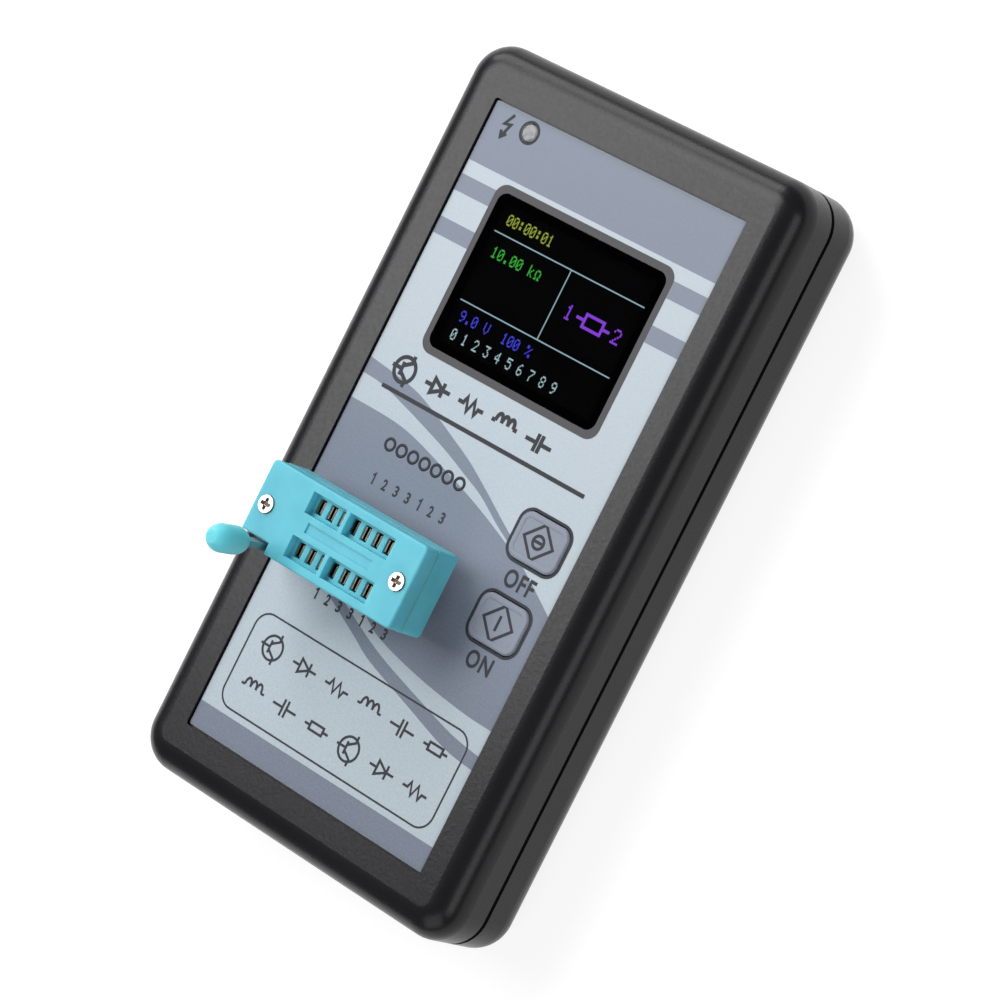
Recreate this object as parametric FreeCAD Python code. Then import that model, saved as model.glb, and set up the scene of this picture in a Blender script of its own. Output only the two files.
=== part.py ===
"""Handheld component tester: a two-shell case with a recessed graphic panel, a colour display,
two sprung keys, an indicator lamp and a lever-operated test socket on a tall riser.

Millimetres, +Z up. The tester lies on its back: the origin is the centre of the back face,
+X points to the right of the panel and +Y to the end where the lamp is.
"""
import FreeCAD
import Part

import math
import os

from FreeCAD import Vector

# Case
CASE_W = 71.0
CASE_L = 131.0
CASE_T = 21.1
PLAN_R = 6.5
FRONT_EDGE_R = 4.8
REAR_EDGE_R = 6.0
WALL = 2.2
REAR_FLOOR_T = 2.0
PART_Z = 11.3
PART_GROOVE = 0.9
TONGUE_T = 1.1
TONGUE_SINK = 2.0
TONGUE_GAP = 0.15

# Recessed panel and its printed overlay
BEZEL_SIDE = 8.65
BEZEL_END = 9.0
RECESS_R = 0.5
PANEL_SINK = 0.5
OVERLAY_SIDE_GAP = 0.25
OVERLAY_END_GAP = 0.3
OVERLAY_R = 0.3
OVERLAY_T = 0.25
PANEL_WALL = 2.0

# Display
DISPLAY_X = 0.25
DISPLAY_FROM_END = 35.5
WINDOW_W = 36.3
WINDOW_L = 27.4
WINDOW_R = 1.8
WINDOW_GAP = 0.05
WINDOW_LEDGE = 0.8
PANEL_SIDE_GAP = 0.4
SCREEN_UNDER_WINDOW = 0.35
FLANGE_W = 44.0
FLANGE_L = 33.0
FLANGE_T = 2.2
CARRIER_W = 50.0
CARRIER_L = 36.0
CARRIER_T = 1.2
CARRIER_LIFT = 7.6
SPACER_R = 1.6
SPACER_INSET = 2.6
HEADER_COUNT = 8
HEADER_INSET = 1.6
PIN_SPACING = 2.54
STRIP_W = 2.5

# Main circuit board
BOARD_W = 52.0
BOARD_FROM_RIB = 0.5
BOARD_FROM_END = 7.0
BOARD_R = 1.0
BOARD_T = 1.6
BOARD_LIFT = 3.5
STANDOFF_X = 23.0
STANDOFF_FROM_EDGE = 4.0
STANDOFF_R = 2.6
BOARD_SCREW_R = 1.0
BOARD_SCREW_L = 3.0
BOARD_SCREW_HEAD_R = 2.0
BOARD_SCREW_HEAD_T = 1.4

# Case screws
BOSS_FROM_SIDE = 5.9
BOSS_FROM_END = 6.7
BOSS_R = 2.9
BOSS_MEET_Z = 9.3
CASE_SCREW_R = 1.1
CASE_SCREW_L = 11.0
CASE_SCREW_HEAD_R = 2.1
CASE_SCREW_HEAD_T = 1.7
CASE_SCREW_SEAT_Z = 5.0
HEAD_CLEAR = 0.4
SHANK_CLEAR = 0.3
PILOT_SPARE = 0.8
CROSS_SHARE = 0.7
CROSS_W = 0.65
CROSS_DEPTH_SHARE = 0.6

# Keys and switches
KEY_FROM_SIDE = 16.6
OFF_KEY_FROM_SOCKET = 15.025
TEST_KEY_FROM_SOCKET = 0.925
KEY_W = 10.0
KEY_L = 7.9
KEY_R = 2.0
KEY_RISE = 0.35
KEY_CROWN_R = 0.25
KEY_TRAVEL = 0.35
KEY_GAP = 0.2
SWITCH_SIDE = 6.0
SWITCH_T = 3.5
PLUNGER_R = 1.7
PLUNGER_CLEAR = 0.08
PLUNGER_SINK = 1.4
SWITCH_FLOOR_GAP = 0.3

# Lamp
LAMP_FROM_SIDE = 17.5
LAMP_FROM_END = 11.8
LAMP_R = 1.5
LAMP_RISE = 0.15
LAMP_EDGE_R = 0.45
LAMP_RIM_R = 1.9
LAMP_RIM_T = 1.0
LAMP_BODY_L = 5.0
LAMP_HOLE_GAP = 0.1
LEG_SIDE = 0.5

# Test socket
SOCKET_FROM_SIDE = 9.8
SOCKET_L = 34.7
SOCKET_FROM_END = 48.025
SOCKET_W = 14.37
SOCKET_H = 8.5
SOCKET_R = 0.8
COVER_T = 3.4
COVER_EDGE_R = 0.3
COVER_INSET = 0.08
RISER_H = 17.0
RISER_OPENING_GAP = 0.6
CONTACT_FROM_X0 = 19.0
CONTACT_COUNT = 7
ROW_PITCH = 7.62
SLOT_L = 3.7
SLOT_DEPTH = 1.5
SLOT_FROM_X0 = 10.0
SLOT_SPLIT_FROM_X0 = 17.9
SLOT_SPLIT_W = 0.8
SLOT_FROM_X1 = 6.3
WELL_W = 1.5
WELL_L = 2.6
WELL_FLOOR = 1.0
BLADE_T = 0.25
BLADE_L = 2.0
BLADE_MOUTH = 0.5
BLADE_TOP_SINK = 1.7
TAIL_SIDE = 0.5
TAIL_L = 4.0
TAIL_GAP = 0.1
LABEL_FROM_X0 = 11.7
LABEL_W = 14.4
LABEL_L = 1.7
LABEL_SINK = 0.3
SOCKET_SCREW_FROM_ENDS = (2.6, 2.55)
SOCKET_SCREW_R = 0.6
SOCKET_SCREW_L = 6.0
SOCKET_SCREW_HEAD_R = 1.475
SOCKET_SCREW_HEAD_T = 1.0
SOCKET_SCREW_SINK = 0.7
SOCKET_SCREW_HEAD_GAP = 0.1

# Socket lever
NOTCH_L = 6.3
NOTCH_W = 1.95
NOTCH_FLOOR = 1.0
PIVOT_FROM_X0 = 4.8
PIVOT_RISE = 3.3
LEVER_RAKE = 1.5
LEVER_SPLAY = 6.0
BEND_ABOVE_SOCKET = 0.6
SHAFT_R = 0.7
SHAFT_CLEAR = 0.05
SHAFT_END_GAP = 0.3
CAM_R = 1.2
CAM_OFFSET = 0.4
CAM_W = 3.4
CAM_ROOM = 0.2
ARM_T = 1.2
ARM_W = 2.2
ARM_END_R = 1.2
ARM_SIDE_GAP = 0.35
ARM_IN_KNOB = 4.0
KNOB_FROM = 9.0
KNOB_L = 7.6
KNOB_R = 2.35
KNOB_TIP_R = 1.1
KNOB_ROOT_R = 1.5
KNOB_SHOULDER = 2.6
KNOB_ROOT_FALL = 0.25
KNOB_TIP_FALL = 0.35
KNOB_ROOT_SHARE = 0.4
KNOB_TIP_SHARE = 0.6

# Slider that the lever's cam pushes along the socket
SLIDER_FROM_X1 = 5.6
SLIDER_W = 3.6
SLIDER_T = 1.0
SLIDER_SIDE_GAP = 0.2
SLIDER_TOP_GAP = 0.3
SLIDER_END_GAP = 0.8
SLIDER_CAM_GAP = 0.35
SLIDER_FLOOR = 2.4
SLIDER_TAB_T = 1.0
SLIDER_TAB_H = 1.7
TOOTH_NOTCH_W = 1.2
TOOTH_NOTCH_L = 0.8

# Battery, clip and leads
BATTERY_L = 46.4
BATTERY_FROM_BOSS = 0.4
BATTERY_W = 26.5
BATTERY_T = 16.4
BATTERY_R = 2.0
TERMINAL_SPACING = 12.7
TERMINAL_L = 1.6
TERMINAL_R = 2.8
CLIP_T = 3.6
CLIP_W = 24.0
CLIP_H = 12.6
CLIP_GAP = 0.1
CUP_GAP = 0.05
LEAD_R = 0.7
LEAD_BEND = 1.6
LEAD_X = 23.4
RED_LEAD_Z = 15.4
BLACK_LEAD_Z = 13.4

# Battery door
DOOR_GAP = 0.2
DOOR_ROOM = 0.4
DOOR_LIP_W = 0.7
DOOR_LIP_T = 0.9
DOOR_SINK = 0.15
DOOR_T = 1.35
BATTERY_LIFT = 0.25
GRIP_COUNT = 6
GRIP_PITCH = 1.8
GRIP_W = 0.9
GRIP_L = 15.0
GRIP_DEPTH = 0.35
GRIP_FROM_EDGE = 4.0
RIB_T = 1.4
RIB_TOP = 11.0

# Parts on the main board
CHIP_SIDE = 7.0
CHIP_T = 1.1
CHIP_X = -4.0
CHIP_FROM_SOCKET = 18.975
CHIP_LEAD_COUNT = 8
CHIP_LEAD_PITCH = 0.8
CHIP_LEAD_W = 0.35
CHIP_LEAD_L = 1.0
CHIP_LEAD_T = 0.3
CRYSTAL_X = -15.5
CRYSTAL_FROM_SOCKET = 18.975
CRYSTAL_END_FLAT = 0.4
CRYSTAL_L = 11.0
CRYSTAL_W = 4.6
CRYSTAL_T = 3.4
REGULATOR_X = 7.0
REGULATOR_FROM_SOCKET = 20.975
REGULATOR_SIDE = 4.5
REGULATOR_W = 2.6
REGULATOR_T = 1.5
CAPACITOR_XS = (14.5, 21.0)
CAPACITOR_FROM_SOCKET = 23.475
CAPACITOR_R = 2.5
CAPACITOR_H = 6.0
CAPACITOR_BASE_SIDE = 5.3
CAPACITOR_BASE_T = 0.8
RESISTOR_COUNT = 6
RESISTOR_PITCH = 2.6
RESISTOR_FROM_SOCKET = 9.975
RESISTOR_L = 3.2
RESISTOR_W = 1.6
RESISTOR_T = 0.6
PLUG_X = 13.0
PLUG_FROM_EDGE = 3.2
PLUG_W = 6.0
PLUG_L = 4.4
PLUG_H = 4.5

# Levels and places worked out from the sizes above
HALF_W = CASE_W / 2
HALF_L = CASE_L / 2
RECESS_W = CASE_W - 2 * BEZEL_SIDE
RECESS_L = CASE_L - 2 * BEZEL_END
OVERLAY_W = RECESS_W - 2 * OVERLAY_SIDE_GAP
OVERLAY_L = RECESS_L - 2 * OVERLAY_END_GAP
BOSS_X = HALF_W - BOSS_FROM_SIDE
BOSS_Y = HALF_L - BOSS_FROM_END
LAMP_X = LAMP_FROM_SIDE - HALF_W
LAMP_Y = HALF_L - LAMP_FROM_END
KEY_X = HALF_W - KEY_FROM_SIDE
SOCKET_X0 = SOCKET_FROM_SIDE - HALF_W
SOCKET_X1 = SOCKET_X0 + SOCKET_L
SOCKET_CX = (SOCKET_X0 + SOCKET_X1) / 2
CONTACT_X = SOCKET_X0 + CONTACT_FROM_X0
SLOT_X0 = SOCKET_X0 + SLOT_FROM_X0
SLOT_SPLIT_X = SOCKET_X0 + SLOT_SPLIT_FROM_X0
SLOT_X1 = SOCKET_X1 - SLOT_FROM_X1
LABEL_X0 = SOCKET_X0 + LABEL_FROM_X0
LABEL_X1 = LABEL_X0 + LABEL_W
SOCKET_SCREW_X = (SOCKET_X0 + SOCKET_SCREW_FROM_ENDS[0], SOCKET_X1 - SOCKET_SCREW_FROM_ENDS[1])
NOTCH_X1 = SOCKET_X0 + NOTCH_L
PIVOT_X = SOCKET_X0 + PIVOT_FROM_X0
SLIDER_X1 = SOCKET_X1 - SLIDER_FROM_X1
DISPLAY_Y = HALF_L - DISPLAY_FROM_END
SOCKET_Y = SOCKET_FROM_END - HALF_L
OFF_KEY_Y = SOCKET_Y + OFF_KEY_FROM_SOCKET
TEST_KEY_Y = SOCKET_Y + TEST_KEY_FROM_SOCKET
CHIP_Y = SOCKET_Y + CHIP_FROM_SOCKET
CRYSTAL_Y = SOCKET_Y + CRYSTAL_FROM_SOCKET
REGULATOR_Y = SOCKET_Y + REGULATOR_FROM_SOCKET
CAPACITOR_Y = SOCKET_Y + CAPACITOR_FROM_SOCKET
RESISTOR_Y = SOCKET_Y + RESISTOR_FROM_SOCKET
BATTERY_Y0 = BOSS_FROM_END + BOSS_R + BATTERY_FROM_BOSS - HALF_L
BATTERY_Y = BATTERY_Y0 + BATTERY_W / 2
RIB_Y0 = BATTERY_Y0 + BATTERY_W + DOOR_ROOM + DOOR_LIP_W
BOARD_Y0 = RIB_Y0 + RIB_T + BOARD_FROM_RIB
BOARD_Y1 = HALF_L - BOARD_FROM_END
STANDOFF_YS = (BOARD_Y0 + STANDOFF_FROM_EDGE, BOARD_Y1 - STANDOFF_FROM_EDGE)
PLUG_Y = BOARD_Y0 + PLUG_FROM_EDGE
OVERLAY_TOP = CASE_T - PANEL_SINK
PANEL_FLOOR = OVERLAY_TOP - OVERLAY_T
CEILING = PANEL_FLOOR - PANEL_WALL
BOARD_BOTTOM = REAR_FLOOR_T + BOARD_LIFT
BOARD_TOP = BOARD_BOTTOM + BOARD_T
BOARD_Y = (BOARD_Y0 + BOARD_Y1) / 2
CARRIER_BOTTOM = BOARD_TOP + CARRIER_LIFT
CARRIER_TOP = CARRIER_BOTTOM + CARRIER_T
SCREEN_TOP = PANEL_FLOOR - SCREEN_UNDER_WINDOW
SOCKET_BOTTOM = BOARD_TOP + RISER_H
SOCKET_TOP = SOCKET_BOTTOM + SOCKET_H
COVER_BOTTOM = SOCKET_TOP - COVER_T
SOCKET_Y0 = SOCKET_Y - SOCKET_W / 2
ROW_YS = (SOCKET_Y - ROW_PITCH / 2, SOCKET_Y + ROW_PITCH / 2)
CONTACT_XS = [CONTACT_X + (i - (CONTACT_COUNT - 1) / 2) * PIN_SPACING for i in range(CONTACT_COUNT)]
NOTCH_Y1 = SOCKET_Y0 + NOTCH_W
PIVOT_Z = SOCKET_BOTTOM + PIVOT_RISE
ARM_Y1 = NOTCH_Y1 - ARM_SIDE_GAP
ARM_Y = ARM_Y1 - ARM_T / 2
BEND_Z = SOCKET_TOP + BEND_ABOVE_SOCKET
SLIDER_Z = SOCKET_BOTTOM + SLIDER_FLOOR
SLIDER_X0 = PIVOT_X + CAM_R + SLIDER_CAM_GAP
BATTERY_Z0 = DOOR_SINK + DOOR_T + BATTERY_LIFT
BATTERY_X0 = -(BATTERY_L + CLIP_GAP + CLIP_T) / 2
BATTERY_X1 = BATTERY_X0 + BATTERY_L
BATTERY_Z = BATTERY_Z0 + BATTERY_T / 2
CLIP_X0 = BATTERY_X1 + CLIP_GAP
DOOR_W = BATTERY_L + CLIP_GAP + CLIP_T + 2 * DOOR_ROOM
DOOR_L = BATTERY_W + 2 * DOOR_ROOM


# Basic shapes

def box(x0, x1, y0, y1, z0, z1):
    return Part.makeBox(x1 - x0, y1 - y0, z1 - z0, Vector(x0, y0, z0))


def block(cx, cy, w, l, z0, z1):
    return box(cx - w / 2, cx + w / 2, cy - l / 2, cy + l / 2, z0, z1)


def rod(x, y, r, z0, z1):
    return Part.makeCylinder(r, z1 - z0, Vector(x, y, z0))


def rod_y(x, z, r, y0, y1):
    return Part.makeCylinder(r, y1 - y0, Vector(x, y0, z), Vector(0, 1, 0))


def rod_x(y, z, r, x0, x1):
    return Part.makeCylinder(r, x1 - x0, Vector(x0, y, z), Vector(1, 0, 0))


def rounded(cx, cy, w, l, r, z0, z1):
    """A plate whose four upright edges are rounded by r."""
    plate = block(cx, cy, w, l, z0, z1)
    upright = [e for e in plate.Edges if e.BoundBox.ZLength > (z1 - z0) / 2]
    return plate.makeFillet(r, upright)


def soften(shape, r, z):
    """A round of radius r on the edges that lie at height z."""
    level = [e for e in shape.Edges if abs(e.BoundBox.ZMin - z) < 1e-5 and abs(e.BoundBox.ZMax - z) < 1e-5]
    return shape.makeFillet(r, level)


def cut(shape, tools):
    for tool in tools:
        shape = shape.cut(tool)
    return shape.removeSplitter()


def join(shape, others):
    for other in others:
        shape = shape.fuse(other)
    return shape.removeSplitter()


def four(x, y):
    return [(sx * x, sy * y) for sx in (-1, 1) for sy in (-1, 1)]


def standoff_places():
    return [(x, y) for x in (-STANDOFF_X, STANDOFF_X) for y in STANDOFF_YS]


def tube(points, r, bend):
    """A round lead along straight runs joined by tangent arcs of radius bend."""
    pts = [Vector(*p) for p in points]
    edges = []
    start = pts[0]
    for before, corner, after in zip(pts, pts[1:], pts[2:]):
        u = (before - corner).normalize()
        v = (after - corner).normalize()
        half = u.getAngle(v) / 2
        reach = bend / math.tan(half)
        first = corner + u * reach
        last = corner + v * reach
        middle = corner + (u + v).normalize() * (bend / math.sin(half) - bend)
        edges.append(Part.LineSegment(start, first).toShape())
        edges.append(Part.Arc(first, middle, last).toShape())
        start = last
    edges.append(Part.LineSegment(start, pts[-1]).toShape())
    ring = Part.Wire(Part.Circle(pts[0], pts[1] - pts[0], r).toShape())
    return Part.Wire(edges).makePipeShell([ring], True, False)


def pan_screw(x, y, z, head_r, head_t, r, length, up):
    """A screw whose head rests at height z; up tells whether the head is above or below."""
    way = 1 if up else -1
    top = z + way * head_t
    head = rod(x, y, head_r, min(z, top), max(z, top))
    tip = z - way * length
    shank = rod(x, y, r, min(z, tip), max(z, tip))
    inner = top - way * head_t * CROSS_DEPTH_SHARE
    z0, z1 = min(top, inner), max(top, inner)
    span = 2 * head_r * CROSS_SHARE
    cross = block(x, y, span, CROSS_W, z0, z1).fuse(block(x, y, CROSS_W, span, z0, z1))
    return join(head, [shank]).cut(cross)


# Case

def case_layer(inset, z0, z1):
    return rounded(0, 0, CASE_W - 2 * inset, CASE_L - 2 * inset, PLAN_R - inset, z0, z1)


def panel_holes(z0, z1, window_inset):
    """Openings for the display, socket riser, keys and lamp."""
    w, l = WINDOW_W - 2 * window_inset, WINDOW_L - 2 * window_inset
    holes = [rounded(DISPLAY_X, DISPLAY_Y, w, l, WINDOW_R - window_inset, z0, z1)]
    riser_w = CONTACT_COUNT * PIN_SPACING + 2 * RISER_OPENING_GAP
    riser_l = ROW_PITCH + STRIP_W + 2 * RISER_OPENING_GAP
    holes.append(block(CONTACT_X, SOCKET_Y, riser_w, riser_l, z0, z1))
    for y in (OFF_KEY_Y, TEST_KEY_Y):
        holes.append(rounded(KEY_X, y, KEY_W + 2 * KEY_GAP, KEY_L + 2 * KEY_GAP, KEY_R + KEY_GAP, z0, z1))
    holes.append(rod(LAMP_X, LAMP_Y, LAMP_R + LAMP_HOLE_GAP, z0, z1))
    return holes


def front_shell():
    skin_z = PART_Z + PART_GROOVE / 2
    shell = soften(case_layer(0, skin_z, CASE_T), FRONT_EDGE_R, CASE_T)
    hollow = soften(case_layer(WALL, skin_z, CEILING), FRONT_EDGE_R - WALL, CEILING)
    shell = shell.cut(hollow)
    tongue_z = PART_Z - TONGUE_SINK
    tongue = case_layer(WALL - TONGUE_T, tongue_z, skin_z).cut(case_layer(WALL, tongue_z, skin_z))
    bosses = [rod(x, y, BOSS_R, BOSS_MEET_Z, CEILING) for x, y in four(BOSS_X, BOSS_Y)]
    shell = join(shell, [tongue] + bosses)
    pilot_top = CASE_SCREW_SEAT_Z + CASE_SCREW_L + PILOT_SPARE
    pilots = [rod(x, y, CASE_SCREW_R, BOSS_MEET_Z, pilot_top) for x, y in four(BOSS_X, BOSS_Y)]
    recess = rounded(0, 0, RECESS_W, RECESS_L, RECESS_R, PANEL_FLOOR, CASE_T)
    return cut(shell, pilots + [recess] + panel_holes(CEILING, PANEL_FLOOR, WINDOW_LEDGE))


def rear_outer():
    return soften(case_layer(0, 0, PART_Z - PART_GROOVE / 2), REAR_EDGE_R, 0)


def rear_shell():
    skin_z = PART_Z - PART_GROOVE / 2
    hollow = soften(case_layer(WALL, REAR_FLOOR_T, skin_z), REAR_EDGE_R - WALL, REAR_FLOOR_T)
    rebate = case_layer(WALL - TONGUE_T - TONGUE_GAP, PART_Z - TONGUE_SINK, skin_z)
    shell = rear_outer().cut(hollow).cut(rebate)
    bosses = [rod(x, y, BOSS_R, REAR_FLOOR_T, BOSS_MEET_Z) for x, y in four(BOSS_X, BOSS_Y)]
    standoffs = [rod(x, y, STANDOFF_R, REAR_FLOOR_T, BOARD_BOTTOM) for x, y in standoff_places()]
    rib_half = BOSS_X
    rib = box(-rib_half, rib_half, RIB_Y0, RIB_Y0 + RIB_T, REAR_FLOOR_T, RIB_TOP)
    shell = join(shell, bosses + standoffs + [rib])
    pilot_z = BOARD_TOP - BOARD_SCREW_L
    holes = [rod(x, y, BOARD_SCREW_R, pilot_z, BOARD_BOTTOM) for x, y in standoff_places()]
    for x, y in four(BOSS_X, BOSS_Y):
        holes.append(rod(x, y, CASE_SCREW_HEAD_R + HEAD_CLEAR, 0, CASE_SCREW_SEAT_Z))
        holes.append(rod(x, y, CASE_SCREW_R + SHANK_CLEAR, CASE_SCREW_SEAT_Z, BOSS_MEET_Z))
    lip_z = DOOR_SINK + DOOR_LIP_T
    lip = 2 * DOOR_LIP_W
    holes.append(block(0, BATTERY_Y, DOOR_W, DOOR_L, 0, REAR_EDGE_R))
    holes.append(block(0, BATTERY_Y, DOOR_W + lip, DOOR_L + lip, 0, lip_z))
    return cut(shell, holes)


def battery_door():
    lip = 2 * DOOR_LIP_W
    lip_z = DOOR_SINK + DOOR_LIP_T
    shrink = 2 * DOOR_GAP
    plate = block(0, BATTERY_Y, DOOR_W + lip - shrink, DOOR_L + lip - shrink, DOOR_SINK, lip_z)
    plug = block(0, BATTERY_Y, DOOR_W - shrink, DOOR_L - shrink, lip_z, DOOR_SINK + DOOR_T)
    door = join(plate, [plug]).common(rear_outer())
    first = BATTERY_Y + DOOR_L / 2 - GRIP_FROM_EDGE
    grips = []
    for i in range(GRIP_COUNT):
        grips.append(block(0, first - i * GRIP_PITCH, GRIP_L, GRIP_W, 0, DOOR_SINK + GRIP_DEPTH))
    return cut(door, grips)


def case_screws():
    made = []
    for x, y in four(BOSS_X, BOSS_Y):
        made.append(pan_screw(x, y, CASE_SCREW_SEAT_Z, CASE_SCREW_HEAD_R, CASE_SCREW_HEAD_T,
                              CASE_SCREW_R, CASE_SCREW_L, False))
    return Part.makeCompound(made)


# Panel

def front_overlay():
    sheet = rounded(0, 0, OVERLAY_W, OVERLAY_L, OVERLAY_R, PANEL_FLOOR, OVERLAY_TOP)
    return cut(sheet, panel_holes(PANEL_FLOOR, OVERLAY_TOP, 0))


def display_window():
    w, l = WINDOW_W - 2 * WINDOW_GAP, WINDOW_L - 2 * WINDOW_GAP
    return rounded(DISPLAY_X, DISPLAY_Y, w, l, WINDOW_R - WINDOW_GAP, PANEL_FLOOR, OVERLAY_TOP)


def key(y):
    top = OVERLAY_TOP + KEY_RISE
    return soften(rounded(KEY_X, y, KEY_W, KEY_L, KEY_R, PANEL_FLOOR, top), KEY_CROWN_R, top)


def switch_body(y):
    top = BOARD_TOP + SWITCH_T
    hole_z = top - PLUNGER_SINK - KEY_TRAVEL - SWITCH_FLOOR_GAP
    body = block(KEY_X, y, SWITCH_SIDE, SWITCH_SIDE, BOARD_TOP, top)
    return body.cut(rod(KEY_X, y, PLUNGER_R + PLUNGER_CLEAR, hole_z, top))


def switch_plunger(y):
    return rod(KEY_X, y, PLUNGER_R, BOARD_TOP + SWITCH_T - PLUNGER_SINK, PANEL_FLOOR)


def indicator_led():
    top = OVERLAY_TOP + LAMP_RISE
    base = top - LAMP_BODY_L
    rim = rod(LAMP_X, LAMP_Y, LAMP_RIM_R, base, base + LAMP_RIM_T)
    lens = soften(rod(LAMP_X, LAMP_Y, LAMP_R, base, top), LAMP_EDGE_R, top)
    return join(rim, [lens])


def led_legs():
    base = OVERLAY_TOP + LAMP_RISE - LAMP_BODY_L
    made = [block(LAMP_X + s * PIN_SPACING / 2, LAMP_Y, LEG_SIDE, LEG_SIDE, BOARD_TOP, base) for s in (-1, 1)]
    return Part.makeCompound(made)


# Display stack

def display_panel():
    inset = WINDOW_LEDGE + PANEL_SIDE_GAP
    flange = block(DISPLAY_X, DISPLAY_Y, FLANGE_W, FLANGE_L, CARRIER_TOP, CARRIER_TOP + FLANGE_T)
    face = block(DISPLAY_X, DISPLAY_Y, WINDOW_W - 2 * inset, WINDOW_L - 2 * inset, CARRIER_TOP, SCREEN_TOP)
    return join(flange, [face])


def display_board():
    return block(DISPLAY_X, DISPLAY_Y, CARRIER_W, CARRIER_L, CARRIER_BOTTOM, CARRIER_TOP)


def display_header():
    y = DISPLAY_Y + CARRIER_L / 2 - HEADER_INSET
    return block(DISPLAY_X, y, HEADER_COUNT * PIN_SPACING, STRIP_W, BOARD_TOP, CARRIER_BOTTOM)


def display_spacers():
    made = []
    for x, y in four(CARRIER_W / 2 - SPACER_INSET, CARRIER_L / 2 - SPACER_INSET):
        made.append(rod(DISPLAY_X + x, DISPLAY_Y + y, SPACER_R, BOARD_TOP, CARRIER_BOTTOM))
    return Part.makeCompound(made)


# Main board and the parts on it

def main_board():
    board = rounded(0, BOARD_Y, BOARD_W, BOARD_Y1 - BOARD_Y0, BOARD_R, BOARD_BOTTOM, BOARD_TOP)
    return cut(board, [rod(x, y, BOARD_SCREW_R, BOARD_BOTTOM, BOARD_TOP) for x, y in standoff_places()])


def board_screws():
    made = []
    for x, y in standoff_places():
        made.append(pan_screw(x, y, BOARD_TOP, BOARD_SCREW_HEAD_R, BOARD_SCREW_HEAD_T,
                              BOARD_SCREW_R, BOARD_SCREW_L, True))
    return Part.makeCompound(made)


def microcontroller():
    body = block(CHIP_X, CHIP_Y, CHIP_SIDE, CHIP_SIDE, BOARD_TOP, BOARD_TOP + CHIP_T)
    span = CHIP_SIDE + 2 * CHIP_LEAD_L
    leads = []
    for i in range(CHIP_LEAD_COUNT):
        shift = (i - (CHIP_LEAD_COUNT - 1) / 2) * CHIP_LEAD_PITCH
        leads.append(block(CHIP_X + shift, CHIP_Y, CHIP_LEAD_W, span, BOARD_TOP, BOARD_TOP + CHIP_LEAD_T))
        leads.append(block(CHIP_X, CHIP_Y + shift, span, CHIP_LEAD_W, BOARD_TOP, BOARD_TOP + CHIP_LEAD_T))
    return join(body, leads)


def crystal():
    radius = (CRYSTAL_W - CRYSTAL_END_FLAT) / 2
    return rounded(CRYSTAL_X, CRYSTAL_Y, CRYSTAL_L, CRYSTAL_W, radius, BOARD_TOP, BOARD_TOP + CRYSTAL_T)


def voltage_regulator():
    return block(REGULATOR_X, REGULATOR_Y, REGULATOR_SIDE, REGULATOR_W, BOARD_TOP, BOARD_TOP + REGULATOR_T)


def capacitors():
    made = []
    side = CAPACITOR_BASE_SIDE
    for x in CAPACITOR_XS:
        base = block(x, CAPACITOR_Y, side, side, BOARD_TOP, BOARD_TOP + CAPACITOR_BASE_T)
        made.append(join(base, [rod(x, CAPACITOR_Y, CAPACITOR_R, BOARD_TOP, BOARD_TOP + CAPACITOR_H)]))
    return Part.makeCompound(made)


def measuring_resistors():
    made = []
    for i in range(RESISTOR_COUNT):
        x = CONTACT_X + (i - (RESISTOR_COUNT - 1) / 2) * RESISTOR_PITCH
        made.append(block(x, RESISTOR_Y, RESISTOR_W, RESISTOR_L, BOARD_TOP, BOARD_TOP + RESISTOR_T))
    return Part.makeCompound(made)


def power_connector():
    return block(PLUG_X, PLUG_Y, PLUG_W, PLUG_L, BOARD_TOP, BOARD_TOP + PLUG_H)


# Test socket

def socket_riser():
    made = []
    for y in ROW_YS:
        strip = block(CONTACT_X, y, CONTACT_COUNT * PIN_SPACING, STRIP_W, BOARD_TOP, SOCKET_BOTTOM)
        hole = TAIL_SIDE + 2 * TAIL_GAP
        holes = []
        for x in CONTACT_XS:
            holes.append(block(x, y, hole, hole, SOCKET_BOTTOM - TAIL_L - TAIL_GAP, SOCKET_BOTTOM))
        made.append(cut(strip, holes))
    return Part.makeCompound(made)


def socket_block(z0, z1, inset):
    """The socket's outline between two heights, without the lever's corner."""
    body = rounded(SOCKET_CX, SOCKET_Y, SOCKET_L - 2 * inset, SOCKET_W - 2 * inset, SOCKET_R, z0, z1)
    floor = max(z0, SOCKET_BOTTOM + NOTCH_FLOOR)
    return body.cut(box(SOCKET_X0, NOTCH_X1, SOCKET_Y0, NOTCH_Y1, floor, z1))


def contact_places():
    return [(x, y) for y in ROW_YS for x in CONTACT_XS]


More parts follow.
